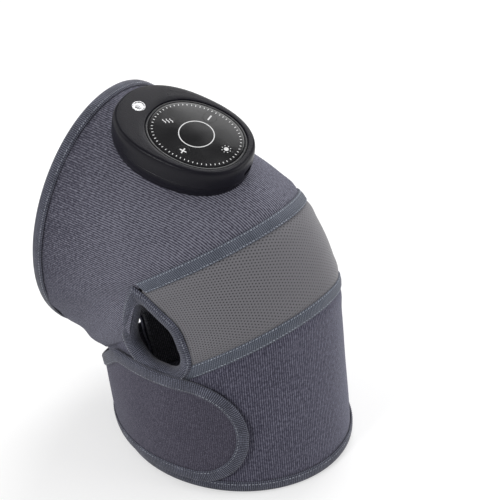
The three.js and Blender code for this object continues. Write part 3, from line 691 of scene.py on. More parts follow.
start_alone()
bpy.ops.mesh.primitive_uv_sphere_add(segments=6, ring_count=5, radius=0.5)
stitch_form = bpy.context.object
with whole_mesh():
    bpy.ops.transform.rotate(value=math.pi / 2, orient_axis="Y", center_override=(0, 0, 0))
    bpy.ops.transform.resize(value=(1, 1, 0.8))
stitch_corners = [vertex.co.copy() for vertex in stitch_form.data.vertices]
stitch_faces = [tuple(polygon.vertices) for polygon in stitch_form.data.polygons]
bpy.data.objects.remove(stitch_form)


def build_mesh(name, corners, faces):
    mesh = bpy.data.meshes.new(name)
    mesh.from_pydata(corners, [], faces)
    piece = bpy.data.objects.new(name, mesh)
    bpy.context.scene.collection.objects.link(piece)
    return piece


def sew(name, place, stations, body, pitch=0.0024, length=0.0016, width=0.0006, slant=0.0,
        material=pale_thread):
    """A row of stitches on a tape, whose place gives the point at a station and some rise above the tape."""
    points = [place(station, 0.0) for station in stations]
    tops = [place(station, 0.001) for station in stations]
    lengths = run_lengths(points)
    corners = []
    faces = []
    station = 0
    for step in range(int(lengths[-1] / pitch)):
        wanted = (step + 0.5) * pitch
        while lengths[station + 1] < wanted:
            station += 1
        share = (wanted - lengths[station]) / (lengths[station + 1] - lengths[station])
        middle = points[station].lerp(points[station + 1], share)
        along = (points[station + 1] - points[station]).normalized()
        off = (tops[station] - points[station]).normalized()
        side = off.cross(along).normalized()
        slanted = (along * math.cos(slant) + side * math.sin(slant)).normalized()
        across = off.cross(slanted)
        first = len(corners)
        for corner in stitch_corners:
            corners.append(middle + wrap_shift + slanted * corner.x * length
                           + across * corner.y * width + off * corner.z * width)
        faces.extend(tuple(first + index for index in face) for face in stitch_faces)
    row = build_mesh(name, corners, faces)
    smooth(row, 80)
    dress(row, material, "elastic_tape", body)


tape_dome = 0.0004
tape_tuck = 0.0012
tape_overlap = 0.003
stitch_stop = 0.002
stitch_lift = 0.0001
stitch_row = 0.78
stitch_slant = 0.35


def tape_crown(across):
    """The tape is domed over the seam, and its sewn edges are drawn down into the fabric."""
    return tape_dome - 2 * tape_dome * across ** 2


def lay_seam_tape(name, level, node):
    turns_end = tape_end(level, binding_width - tape_overlap)
    turns = spread(-turns_end, turns_end, 180)
    half = tape_width / 2
    rows = spread(-1, 1, 8)
    shares = {(turn, across): tape_share(turn, level + across * half) for turn in turns for across in rows}

    def on_tape(turn, across):
        return on_leg(turn, shares[turn, across], tape_lift + tape_thickness / 2 + tape_crown(across))

    tape = lay_grid(name, turns, rows, on_tape)
    thicken(tape, tape_thickness)
    cut_vents(tape, binding_width - tape_tuck)
    smooth(tape)
    dress(tape, tape_weave, "elastic_tape", "wrap", node)

    stitch_end = tape_end(level, binding_width + stitch_stop)
    stitch_turns = spread(-stitch_end, stitch_end, 120)
    for row_name, across in (("_low_stitches", -stitch_row), ("_high_stitches", stitch_row)):
        row_shares = {turn: tape_share(turn, level + across * half) for turn in stitch_turns}

        def on_row(turn, rise):
            height = tape_lift + tape_thickness + tape_crown(across) + stitch_lift + rise
            return on_leg(turn, row_shares[turn], height)

        sew(name + row_name, on_row, stitch_turns, "wrap", slant=stitch_slant * across)


lay_seam_tape("upper_tape", upper_level, "upper_seam_tape")
lay_seam_tape("lower_tape", lower_level, "lower_seam_tape")


# Cuff bindings: the same elastic folded over the fabric and the lining at the two open ends, with one
# row of stitches near its inner edge.

stack_bottom = -0.0070
fold_depth = 0.003
edge_dip = 0.0003
puff_round = 0.7


def folded_section(width, outer, inner, puff, depth=fold_depth):
    """Middle line of a folded tape: distances in from the fold, and offsets from the wrap."""
    reach = (outer - inner) / 2
    nose = [
        (depth - depth * math.cos(lean), (outer + inner) / 2 - reach * math.sin(lean))
        for lean in spread(-math.pi / 2, math.pi / 2, 12)
    ]
    leg_shares = spread(1, 0, 6)[:-1]
    leg = [(share, puff * math.sin(math.pi * share) ** puff_round if share < 1 else -edge_dip)
           for share in leg_shares]
    upper = [(depth + (width - depth) * share, outer + rise) for share, rise in leg]
    lower = [(depth + (width - depth) * share, inner - rise) for share, rise in reversed(leg)]
    return upper + nose + lower


def leg_face(outer, puff, thickness, width, inset, depth=fold_depth):
    """Offset of the outer face of a folded tape, at a distance in from the fold."""
    return outer + puff * math.sin(math.pi * (inset - depth) / (width - depth)) ** puff_round + thickness / 2


binding_colors = ((0.014, 0.015, 0.025), (0.044, 0.047, 0.070), (0.24, 0.25, 0.33))
binding_weave = elastic("binding_weave", binding_colors, 0.32)
binding_thread = thread("binding_thread", (0.075, 0.080, 0.100), (0.50, 0.53, 0.60), 120)
cuff_outer = tape_lift + binding_thickness / 2
cuff_puff = 0.0005
stitch_inset = binding_width - 0.0016


def finish_binding(piece, thickness, body, node):
    thicken(piece, thickness)
    smooth(piece)
    dress(piece, binding_weave, "elastic_tape", body, node)


def bind_cuff(name, end, node):
    def on_cuff(turn, spot):
        inset, offset = spot
        return from_cuff(end, turn, inset - edge_out + binding_thickness / 2, offset)

    cuff_section = folded_section(binding_width, cuff_outer, stack_bottom - cuff_outer, cuff_puff)
    cuff = lay_grid(name, fabric_turns, cuff_section, on_cuff)
    finish_binding(cuff, binding_thickness, "wrap", node)

    def on_row(turn, rise):
        face = leg_face(cuff_outer, cuff_puff, binding_thickness, binding_width, stitch_inset)
        return from_cuff(end, turn, stitch_inset - edge_out + binding_thickness / 2, face + rise)

    sew(name + "_stitches", on_row, fabric_turns, "wrap", material=binding_thread)


bind_cuff("thigh_cuff", "thigh", "thigh_cuff_binding")
bind_cuff("calf_cuff", "calf", "calf_cuff_binding")


# Vent bindings: the same elastic, folded over the edge of the teardrop vent on each side of the knee. It is
# mitred at the vent's pointed tip and held by one row of stitches.

vent_step = 0.0015


def vent_outline():
    """Corners round a vent seen from the side, each with the angle that points away from the vent."""
    outline = []
    for turn in spread(0, 2 * math.pi, 90):
        x, z, radius = max(vent_lobes, key=lambda lobe: lobe_reach(lobe, turn))
        corner = (x + radius * math.cos(turn), z + radius * math.sin(turn))
        if outline:
            last = outline[-1]
            run = (corner[0] - last[0], corner[1] - last[1])
            pieces = math.ceil(math.hypot(*run) / vent_step)
            for share in spread(0, 1, max(pieces, 1))[1:-1]:
                outline.append((last[0] + run[0] * share, last[1] + run[1] * share, turn))
        outline.append((*corner, turn))
    return outline


def meet(wanted, seen, turn, share, rounds=7, step=0.001):
    """Angle and share of the wrap whose point is seen at a wanted place."""
    for _ in range(rounds):
        here = seen(turn, share)
        by_turn = (seen(turn + step, share) - here) / step
        by_share = (seen(turn, share + step) - here) / step
        area = by_turn.x * by_share.y - by_turn.y * by_share.x
        miss = wanted - here
        turn += (miss.x * by_share.y - miss.y * by_share.x) / area
        share += (miss.y * by_turn.x - miss.x * by_turn.y) / area
    return turn, share


tip_turn = math.radians(112)
tip_lean = math.radians(52)


def beside_vent(side, corner, inset, offset):
    """A point beside a vent. At its pointed tip the fold is mitred, so its outer edge comes to a corner."""
    x, z, turn = corner
    inset /= math.cos(max(0, tip_lean - abs(turn - tip_turn)))
    wanted = Vector((x + inset * math.cos(turn), z + inset * math.sin(turn)))

    def seen(around, share):
        return on_leg(around, share, offset).xz

    leg_line.cache_clear()
    return on_leg(*meet(wanted, seen, side * math.pi / 2, 1.5), offset)


vent_outer = cuff_outer + 0.0005
vent_puff = 0.0011
vent_section = folded_section(binding_width, vent_outer, stack_bottom - tape_lift - cuff_outer, vent_puff)
vent_face = leg_face(vent_outer, vent_puff, binding_thickness, binding_width, stitch_inset)
vent_gauge = 3
vent_corners = vent_outline()


def bind_vent(name, side):
    spots = {
        (corner, spot): beside_vent(side, corner, *spot) for corner in vent_corners for spot in vent_section
    }

    def on_vent(corner, spot):
        return spots[corner, spot]

    edge = lay_grid(name + "_edge", vent_corners, vent_section, on_vent, closed=True, gauge=vent_gauge)
    finish_binding(edge, binding_thickness, "wrap", name + "_binding")

    def on_row(corner, rise):
        return beside_vent(side, corner, stitch_inset, vent_face + rise)

    sew(name + "_stitches", on_row, vent_corners, "wrap", pitch=0.0022, length=0.0015, width=0.0005,
        material=binding_thread)


bind_vent("lateral_vent", -1)
bind_vent("medial_vent", 1)


# Lower strap: a wide band of loop fabric, sewn to one back edge of the calf fabric and wrapped round behind
# the leg. It closes on the outer side with a patch of hook tape, and elastic is folded over its edge.

strap_thickness = 0.0018
strap_lift = 0.0026
strap_binding_thickness = 0.0006
strap_binding_width = 0.008
strap_fold_depth = 0.0016
strap_outer = strap_lift + strap_thickness + tape_lift + strap_binding_thickness / 2
strap_inner = strap_lift - tape_lift - strap_binding_thickness / 2
strap_puff = 0.0003
strap_section = folded_section(strap_binding_width, strap_outer, strap_inner, strap_puff, strap_fold_depth)
strap_ease = 0.0015
strap_swell = 0.0012
strap_slack = 0.0005
root_dip = 0.0015
root_reach = 0.014
root_rows = (0.0035, 0.0060)
seam_inset = strap_binding_width - 0.0013
crease_room = 0.005
hem = strap_binding_width + 0.0015
hook_top = strap_lift - 0.0005
hook_thickness = 0.0008
strap_face = leg_face(strap_outer, strap_puff, strap_binding_thickness, strap_binding_width, seam_inset,
                      strap_fold_depth)


def level_share(turn, height):
    """Share of the wrap at which a line up the leg reaches a height."""
    cuff, _, _, calf_end, _, _ = leg_line(turn, 0)
    if height <= calf_end.z:
        return (height - cuff.z) / (calf_end.z - cuff.z)
    return find_share(1.0, 2.0, 16, lambda share: on_leg(turn, share).z < height)


def on_calf_strap(turn, row, offset):
    return on_leg(turn, level_share(turn, row), offset)


def on_thigh_strap(turn, row, offset):
    return from_cuff("thigh", turn, row, offset)


def calf_limit(turn):
    return leg_line(turn, 0)[1].z - crease_room


def thigh_limit(turn):
    _, bend, top = leg_line(turn, 0)[:3]
    return (bend - top).length - crease_room


strap_layouts = {
    "lower_strap": SimpleNamespace(
        middle=0.0467, half=0.0385, root=math.radians(-210), end=math.radians(-50), way=1,
        hook=(math.radians(-112), math.radians(-80)), place=on_calf_strap, limit=calf_limit,
        radius=(calf_cuff_depth + calf_cuff_width) / 4, steps=120),
    "upper_strap": SimpleNamespace(
        middle=0.022, half=0.017, root=math.radians(200), end=math.radians(137), way=-1,
        hook=(math.radians(168), math.radians(152)), place=on_thigh_strap, limit=thigh_limit,
        radius=(thigh_cuff_depth + thigh_cuff_width) / 4, steps=50),
}


def strap_top(layout, turn):
    """Upper edge of a strap: level, and eased down where the crease behind the knee leaves less room."""
    level = (layout.middle + layout.half) / strap_ease
    limit = layout.limit(turn) / strap_ease
    return strap_ease * (min(level, limit) - math.log(1 + math.exp(-abs(level - limit))))


def strap_shape(layout, inset):
    """Columns of a strap as it lies: an angle round the leg, and its lowest and highest row there."""
    radius = layout.half - inset
    shoulder = layout.end - layout.way * layout.half / layout.radius
    columns = [
        (turn, layout.middle - radius, strap_top(layout, turn) - inset)
        for turn in spread(layout.root + layout.way * inset / layout.radius, shoulder, layout.steps)
    ]
    for lean in spread(0, math.radians(86), 30)[1:]:
        reach = radius * math.cos(lean)
        turn = shoulder + layout.way * radius * math.sin(lean) / layout.radius
        columns.append((turn, layout.middle - reach, layout.middle + reach))
    return columns


def strap_edge(layout):
    """Stations round a strap's edge: an angle, a row, and how far the way in leans from straight up."""
    columns = strap_shape(layout, 0)[:layout.steps + 1]
    shoulder = columns[-1][0]
    lower = [(turn, low, -math.pi / 2) for turn, low, _ in columns]
    upper = [(turn, high, math.pi / 2) for turn, _, high in reversed(columns)]
    around = [
        (shoulder + layout.way * layout.half * math.cos(lean) / layout.radius,
         layout.middle + layout.half * math.sin(lean), lean)
        for lean in spread(-math.pi / 2, math.pi / 2, 72)[1:-1]
    ]
    return lower + around + upper


def strap_bulge(layout, turn, row):
    """How far a strap stands off its even course: it swells where it spans the hollow behind the leg, is
    flat at its edges, and comes down on the fabric at its sewn root."""
    along = (turn - layout.root) / (layout.end - layout.root)
    across = (row - layout.middle) / layout.half
    slack = noise.noise(Vector((turn * 2.5, row * 30, 0))) * strap_slack
    swell = (strap_swell * hump(along - 0.55, 0.2) + slack) * max(0, 1 - across ** 2)
    from_root = abs(turn - layout.root) * layout.radius
    return swell - root_dip * (1 - min(1, from_root / root_reach)) ** 2


loop_colors = ((0.024, 0.022, 0.036), (0.074, 0.068, 0.096), (0.18, 0.17, 0.22))
loop_pile = knit("loop_pile", loop_colors, 0.0014, 0.16, 0.35, thread_share=0.3)
hook_material = start_material("hook_tape", 0.55)
hook_cloth = cloth_place(hook_material)
hook_rows = add_up(hook_material, (waves(hook_material, hook_cloth, "X", 0.0012), 0.5),
                   (waves(hook_material, hook_cloth, "Y", 0.0014), 0.5))
paint(hook_material, hook_rows, (0.3, (0.004, 0.004, 0.005)), (0.9, (0.05, 0.05, 0.055)))
raise_surface(hook_material, hook_rows, 0.0006)


def make_strap(name):
    layout = strap_layouts[name]
    body = name + "_body"
    place = layout.place
    columns = strap_shape(layout, strap_binding_thickness + tape_lift)
    middle_offset = strap_lift + strap_thickness / 2

    def on_band(column, across):
        turn, low, high = column
        row = (low + high) / 2 + (high - low) / 2 * across
        return place(turn, row, middle_offset + strap_bulge(layout, turn, row))

    band = lay_grid(name + "_band", columns, spread(-1, 1, 36), on_band)
    thicken(band, strap_thickness, 0.3)
    smooth(band, 50)
    dress(band, loop_pile, "strap_fabric", body, name)

    def on_edge(station, spot):
        turn, row, lean = station
        inset, offset = spot
        turn -= layout.way * inset * math.cos(lean) / layout.radius
        row -= inset * math.sin(lean)
        return place(turn, row, offset + strap_bulge(layout, turn, row))

    stations = strap_edge(layout)
    edge = lay_grid(name + "_edge", stations, strap_section, on_edge, gauge=vent_gauge)
    finish_binding(edge, strap_binding_thickness, body, name + "_binding")

    def on_row(station, rise):
        return on_edge(station, (seam_inset, strap_face + rise))

    sew(name + "_stitches", on_row, stations, body, pitch=0.0025, length=0.0015, width=0.00045,
        material=binding_thread)

    for step in root_rows:
        root_turn = layout.root + layout.way * step / layout.radius

        def on_root(row, rise):
            face = strap_lift + strap_thickness + rise + strap_bulge(layout, root_turn, row)
            return place(root_turn, row, face)

        low = layout.middle - layout.half + strap_binding_width
        high = strap_top(layout, root_turn) - strap_binding_width
        sew(f"{name}_root_stitches_{step * 10000:.0f}", on_root, spread(low, high, 24), body)

    def on_hook(turn, across):
        low = layout.middle - layout.half + hem
        row = low + (strap_top(layout, turn) - hem - low) * across
        return place(turn, row, hook_top - hook_thickness / 2)

    hook = lay_grid(name + "_hooks", spread(*layout.hook, 40), spread(0, 1, 30), on_hook)
    thicken(hook, hook_thickness, 0.2)
    smooth(hook)
    dress(hook, hook_material, "hook_tape", body, name + "_hook")


make_strap("lower_strap")


# Upper strap: a short closure tab of the same make behind the thigh, out of sight in the photograph. It is
# sewn on at one end and closes with its own patch of hook tape.

make_strap("upper_strap")


# Mounting plate and its screws: a stiff moulded plate behind the thigh fabric, which the control unit is
# screwed to. Both stay as the solids give them, with their finish.

inner_material = start_material("inner_plastic", 0.5)
inner_grain = grain(inner_material, solid_place(inner_material), 2200)
paint(inner_material, inner_grain, (0.3, (0.010, 0.010, 0.011)), (0.7, (0.020, 0.020, 0.022)))
raise_surface(inner_material, inner_grain, 0.0001)


def metal(name, low, high, roughness):
    """Plated metal with fine turning marks and small stains."""
    material = start_material(name, roughness, metallic=1.0)
    solid = solid_place(material)
    marks = grain(material, stretched(material, solid, (1, 1, 6)), 1800, 3.0)
    stains = grain(material, solid, 300)
    paint(material, add_up(material, (marks, 0.6), (stains, 0.4)), (0.3, low), (0.7, high))
    raise_surface(material, marks, 0.00005)
    return material


def numbered(name, count):
    return [f"{name}_{number}" for number in range(1, count + 1)]


screw_steel = metal("screw_steel", (0.42, 0.43, 0.45), (0.58, 0.59, 0.61), 0.3)
finish_nodes(inner_material, "mounting_plate")
finish_nodes(screw_steel, *numbered("mounting_screw", 4))


# Base housing: the lower shell of the control unit, moulded in dark satin plastic. Its underside is
# shaped to the thigh, and its skirt tucks in where it meets the fabric.

unit_half_length = 0.0487
unit_half_width = 0.0347
unit_height = 0.0185
unit_wall = 0.0022
unit_corner = 0.87
seat_turn = math.radians(-10)
seat_from_cuff = 0.071
seat_yaw = math.radians(9)
parting_height = 0.004
base_floor = 0.0022
base_inset = 0.0004

seat_length = (on_leg(seat_turn, 2) - on_leg(seat_turn, 3)).length
seat_share = 3 - seat_from_cuff / seat_length
seat_point = on_leg(seat_turn, seat_share)
seat_nose = (on_leg(seat_turn, 2) - seat_point).normalized()
seat_across = on_leg(seat_turn + 0.001, seat_share) - seat_point
seat_up = seat_nose.cross(seat_across).normalized()
seat_basis = Matrix((seat_nose, seat_up.cross(seat_nose), seat_up)).transposed()
unit_seat = (Matrix.Translation(seat_point + wrap_shift)
             @ (seat_basis @ Matrix.Rotation(seat_yaw, 3, "Z")).to_4x4())


def oval_point(half_length, half_width, corner, turn, ahead=0.0):
    c = math.cos(turn)
    s = math.sin(turn)
    return (ahead + half_length * math.copysign(abs(c) ** corner, c),
            half_width * math.copysign(abs(s) ** corner, s))


def unit_ring(inset, turn):
    return oval_point(unit_half_length - inset, unit_half_width - inset, unit_corner, turn)


def loft(name, profile, ring, sides=128, middle=(0.0, 0.0)):
    """A closed form in the unit's own frame, from a profile of rings and their heights. A ring of None is
    the form's middle line."""
    def on_ring(turn, level):
        place, height = profile[level]
        return Vector((*(middle if place is None else ring(place, turn)), height))

    turns = spread(0, 2 * math.pi, sides)
    return lay_grid(name, turns, list(range(len(profile))), on_ring, Vector(), closed=True)


def add_pin(radius, low, high, x, y, sides=48):
    start_alone()
    bpy.ops.mesh.primitive_cylinder_add(vertices=sides, radius=radius, depth=high - low,
                                        location=(x, y, (low + high) / 2))
    bpy.ops.object.transform_apply()
    return bpy.context.object


def add_pins(places, radius, low, high, sides=48):
    return [add_pin(radius, low, high, x, y, sides) for x, y in places]


def seat_on_thigh(piece):
    """Takes a piece from the unit's own frame to its seat on the thigh."""
    start_alone(piece)
    piece.matrix_world = unit_seat
    bpy.ops.object.transform_apply()


def moulded(name, low, high, roughness, grit=1300, bump=0.00012, **sockets):
    """Moulded plastic with a fine spark-eroded grain, a little darker where hands have polished it."""
    material = start_material(name, roughness, **sockets)
    solid = solid_place(material)
    fine = grain(material, solid, grit, 3.0)
    worn = grain(material, solid, 35)
    paint(material, add_up(material, (fine, 0.5), (worn, 0.5)), (0.35, low), (0.65, high))
    rough = color_ramp(material, worn, (0.3, (roughness - 0.05,) * 3), (0.7, (roughness + 0.06,) * 3))
    drive(material, "Roughness", rough)
    raise_surface(material, fine, bump)
    return material


housing_colors = ((0.006, 0.0056, 0.0095), (0.0095, 0.009, 0.014))
housing_plastic = moulded("housing_plastic", *housing_colors, 0.31, specular_ior_level=0.16)


def four_places(ahead, across):
    return [(way * ahead, side * across) for way in (1, -1) for side in (1, -1)]


post_places = four_places(0.033, 0.020)
plate_places = four_places(0.022, 0.012)
post_radius = 0.0026
post_shoulder = 0.0037
screw_radius = 0.001
screw_room = 0.0003
screw_head = 0.0022
board_top = 0.0106
board_room = 0.0003
deck_ceiling = 0.0151
post_sink = 0.0003

base_wall = unit_wall + base_inset
base_profile = [
    (None, -0.010), (0.0036, -0.010), (0.0026, -0.0060), (0.0014, -0.0030), (0.0007, -0.0005),
    (0.00045, 0.0016), (base_inset, 0.0037), (base_inset + 0.0003, parting_height),
    (base_wall - 0.0003, parting_height), (base_wall, 0.0037), (base_wall, base_floor + 0.0008),
    (base_wall + 0.0008, base_floor), (None, base_floor),
]
base_shell = loft("base_shell", base_profile, unit_ring)
carve(base_shell, add_pins(post_places, post_shoulder, 0, parting_height), "UNION")
seat_on_thigh(base_shell)

thigh_form_depth = 0.024
base_clearance = 0.0003


def under_base(turn, share):
    return on_leg(turn, share, base_clearance - thigh_form_depth / 2)


thigh_form_turns = spread(math.radians(-48), math.radians(26), 70)
thigh_form = lay_grid("thigh_form", thigh_form_turns, spread(1.7, 3.1, 40), under_base)
use_modifier(thigh_form, "SOLIDIFY", thickness=thigh_form_depth, offset=0, use_even_offset=True)
carve(base_shell, [thigh_form])
base_bores = [(screw_head + screw_room, -0.04, base_floor - screw_room, place) for place in post_places]
base_bores += [(screw_radius + screw_room, -0.04, 0.04, place) for place in post_places + plate_places]
for radius, low, high, (x, y) in base_bores:
    bore = add_pin(radius, low, high, x, y)
    seat_on_thigh(bore)
    carve(base_shell, [bore])
smooth(base_shell, 40)
dress(base_shell, housing_plastic, "housing_plastic", "wrap", "base_housing")
finish_nodes(screw_steel, *numbered("housing_screw", 4))


# Inside the unit: a board with five switches, a rubber mat under the keys, a flat battery, a vibration
# motor and the charging inlet, all as the solids give them.

board_material = moulded("board_laminate", (0.006, 0.05, 0.02), (0.02, 0.11, 0.05), 0.4, 600)
cell_material = moulded("cell_wrap", (0.02, 0.08, 0.24), (0.05, 0.14, 0.36), 0.3, 500)
mat_material = moulded("key_rubber", (0.035, 0.035, 0.038), (0.055, 0.055, 0.058), 0.8, 900)
socket_steel = metal("socket_steel", (0.10, 0.10, 0.11), (0.20, 0.20, 0.21), 0.35)
finish_nodes(board_material, "circuit_board")
finish_nodes(cell_material, "battery")
finish_nodes(mat_material, "keypad_mat")
finish_nodes(inner_material, *numbered("tact_switch", 5))
finish_nodes(screw_steel, "vibration_motor")
finish_nodes(socket_steel, "usb_c_socket")


# Top housing: the upper shell, of the same plastic. A groove round the glossy panel, a seat for the bright
# disc and a slot for the charging inlet are moulded in it, and its face ends in a crisp edge.

lens_ahead = 0.0091
lens_half_length = 0.0323
lens_half_width = 0.0265
lens_corner = 0.93
groove_width = 0.0022
groove_floor = 0.0169
badge_ahead = lens_ahead - 0.0436
badge_radius = 0.0045
badge_room = 0.0002
badge_seat = 0.0008
key_bore_room = 0.0003
port_half_width = 0.0046
port_half_height = 0.0017
port_height = 0.0076
port_room = 0.0002
port_back = unit_half_length - unit_wall - 0.0073
icon_ahead = 0.0218
icon_across = 0.0179
key_places = {
    "power_key": (lens_ahead, 0.0, 0.0108),
    "vibration_key": (lens_ahead - icon_ahead, 0.0, 0.0046),
    "heat_key": (lens_ahead + icon_ahead, 0.0, 0.0046),
    "plus_key": (lens_ahead, -icon_across, 0.0046),
    "minus_key": (lens_ahead, icon_across, 0.0046),
}


def finish_unit(piece, angle, material, slot, body, node):
    """Takes a finished form of the unit to its seat, and gives it its finish."""
    smooth(piece, angle)
    seat_on_thigh(piece)
    dress(piece, material, slot, body, node)


def lens_ring(grow, turn):
    return oval_point(lens_half_length + grow, lens_half_width + grow, lens_corner, turn, lens_ahead)


face_inset = 0.0029


def top_ring(place, turn):
    """Rings of the top shell: the outer ones follow the housing, and the groove's follow the panel."""
    if isinstance(place, tuple):
        share, grow = place
        return Vector(unit_ring(face_inset, turn)).lerp(Vector(lens_ring(grow, turn)), share)
    return unit_ring(place, turn)


top_foot = 0.0043
top_profile = [
    (None, deck_ceiling), (unit_wall + 0.0008, deck_ceiling), (unit_wall, deck_ceiling - 0.0008),
    (unit_wall, 0.010), (unit_wall, top_foot), (0.0003, top_foot), (0.0, top_foot + 0.0003), (0.0, 0.0080),
    (0.0, 0.0115), (0.00006, 0.0134), (0.0002, 0.0150), (0.00042, 0.0162), (0.0007, 0.0170),
    (0.00105, 0.01762), (0.0015, 0.01807), (0.0019, 0.01830), (0.0023, 0.01843), (0.0026, 0.01848),
    (face_inset, unit_height), ((0.35, groove_width + 0.0006), unit_height),
    ((0.7, groove_width + 0.0006), unit_height),
    ((1, groove_width + 0.0006), unit_height), ((1, groove_width + 0.0003), unit_height - 0.00006),
    ((1, groove_width + 0.0001), unit_height - 0.0002), ((1, groove_width), unit_height - 0.0005),
    ((1, groove_width), groove_floor), ((1, -0.004), groove_floor), (None, groove_floor),
]
top_shell = loft("top_shell", top_profile, top_ring, 160)
post_top = deck_ceiling + post_sink
posts = add_pins(post_places, post_radius, top_foot, post_top)
posts += add_pins(post_places, post_shoulder, board_top + board_room, post_top)
carve(top_shell, posts, "UNION")
bores = add_pins(post_places, screw_radius + screw_room, 0, board_top + board_room)
bores += [add_pin(radius + key_bore_room, board_top, 0.03, x, y, 96) for x, y, radius in key_places.values()]
bores.append(add_pin(badge_radius + badge_room, unit_height - badge_seat, 0.03, badge_ahead, 0, 96))
carve(top_shell, bores)

slot_reach = port_half_width - port_half_height
slot_depth = 0.02
slot_ends = [(Vector((port_back + slot_depth / 2, across, port_height)), port_half_height + port_room)
             for across in (-slot_reach, slot_reach)]
carve(top_shell, [bar_hull(slot_ends, slot_depth, (0, math.pi / 2, 0), 40)])
finish_unit(top_shell, 32, housing_plastic, "housing_plastic", "wrap", "top_housing")


# Trim ring: a thin ring of dark moulded plastic, pressed into the groove round the glossy panel. Its
# rounded top catches a thin light.

ring_profile = [
    (0.0003, 0.0172), (0.0003, 0.0177), (0.0005, 0.01793), (0.0011, 0.0180), (0.0017, 0.01793),
    (0.0019, 0.0177), (0.0019, 0.0172), (0.0003, 0.0172),
]

ring_plastic = moulded("ring_plastic", (0.007, 0.007, 0.009), (0.012, 0.012, 0.015), 0.35)
trim = loft("groove_ring", ring_profile, lens_ring, 160)
finish_unit(trim, 60, ring_plastic, "inner_plastic", "wrap", "trim_ring")


# Control panel and keys: one glossy black moulding over five keys that are flush with it. The marks are
# printed in white, as thin raised ink: dashes round the rim, a ring, and the signs of the four small keys.

lens_foot = 0.0172
lens_top = 0.0182
lens_crown = 0.00022
key_room = 0.00007
key_lip = 0.0009
lip_top = 0.0148
ink_height = 0.00005


def crown(x, y):
    """The face of the panel and its keys is very slightly domed."""
    far = ((x - lens_ahead) / lens_half_length) ** 2 + (y / lens_half_width) ** 2
    return lens_top - lens_crown * far


lens_edge = [(0.0, 0.01775), (-0.00008, 0.01788), (-0.0003, 0.01797)]
lens_face = [(-inset, lens_top) for inset in (0.0010, 0.0024, 0.005, 0.009, 0.014, 0.019, 0.0235)]
lens_profile = [(None, lens_foot), (0.0, lens_foot), *lens_edge, *lens_face, (None, lens_top)]
gloss_colors = ((0.0020, 0.0020, 0.0030), (0.0030, 0.0030, 0.0045))
gloss = moulded("gloss_panel", *gloss_colors, 0.13, 60, 0.00002, specular_ior_level=0.4)
lens = loft("glossy_panel", lens_profile, lens_ring, 160, (lens_ahead, 0.0))
for vertex in lens.data.vertices:
    if vertex.co.z > lens_top - 0.00001:
        vertex.co.z = crown(vertex.co.x, vertex.co.y)
carve(lens, [add_pin(radius + key_room, 0.01, 0.03, x, y, 96) for x, y, radius in key_places.values()])
finish_unit(lens, 30, gloss, "gloss_panel", "wrap", "control_lens")

ink = start_material("white_ink", 0.5)
ink_speck = grain(ink, solid_place(ink), 3000)
paint(ink, ink_speck, (0.25, (0.62, 0.62, 0.63)), (0.6, (0.86, 0.86, 0.86)))
raise_surface(ink, ink_speck, 0.00003)


def print_marks(name, strokes, body, weight):
    """Raised ink along flat strokes, each a list of points on the panel, with half its height sunk in it."""
    corners = []
    faces = []
    for stroke in strokes:
        closed_round = (Vector(stroke[0]) - Vector(stroke[-1])).length < 0.00001
        befores = [stroke[-2 if closed_round else 0], *stroke]
        afters = [*stroke[1:], stroke[1 if closed_round else -1]]
        first = len(corners)
        for before, middle, after in zip(befores, stroke, afters):
            along = (Vector(after) - Vector(before)).normalized()
            side = Vector((-along.y, along.x)) * weight / 2
            for way, rise in ((1, 1), (-1, 1), (-1, -1), (1, -1)):
                point = Vector(middle) + side * way
                corners.append((*point, crown(*point) + rise * ink_height))
        last = len(corners) - 4
        for here in range(first, last, 4):
            for a, b in ((0, 1), (1, 2), (2, 3), (3, 0)):
                faces.append((here + a, here + b, here + 4 + b, here + 4 + a))
        if not closed_round:
            faces.append((first, first + 3, first + 2, first + 1))
            faces.append((last, last + 1, last + 2, last + 3))
    marks = build_mesh(name, corners, faces)
    bpy.context.view_layer.objects.active = marks
    marks.select_set(True)
    weld()
    seat_on_thigh(marks)
    dress(marks, ink, "gloss_panel", body)


def round_point(x, y, radius, turn):
    return x + radius * math.cos(turn), y + radius * math.sin(turn)


def arc(x, y, radius, sides):
    return [round_point(x, y, radius, turn) for turn in spread(0, 2 * math.pi, sides)]


rim_half_length = 0.02989
rim_half_width = 0.02426
rim_points = [Vector((*oval_point(rim_half_length, rim_half_width, lens_corner, turn, lens_ahead), 0))
              for turn in spread(0, 2 * math.pi, 720)]
rim_lengths = run_lengths(rim_points)
dash_count = 60
dash_reach = 0.00062
dash_weight = 0.00052
power_ring_radius = 0.01165
power_ring_weight = 0.00066
dashes = []
for number in range(dash_count):
    wanted = rim_lengths[-1] * (number + 0.5) / dash_count
    spot = next(index for index, length in enumerate(rim_lengths) if length >= wanted)
    way = rim_points[spot] - rim_points[spot - 1]
    out = Vector((way.y, -way.x)).normalized() * dash_reach
    middle = rim_points[spot].xy
    dashes.append([tuple(middle - out), tuple(middle + out)])
print_marks("rim_dashes", dashes, "wrap", dash_weight)
print_marks("power_ring", [arc(lens_ahead, 0, power_ring_radius, 128)], "wrap", power_ring_weight)

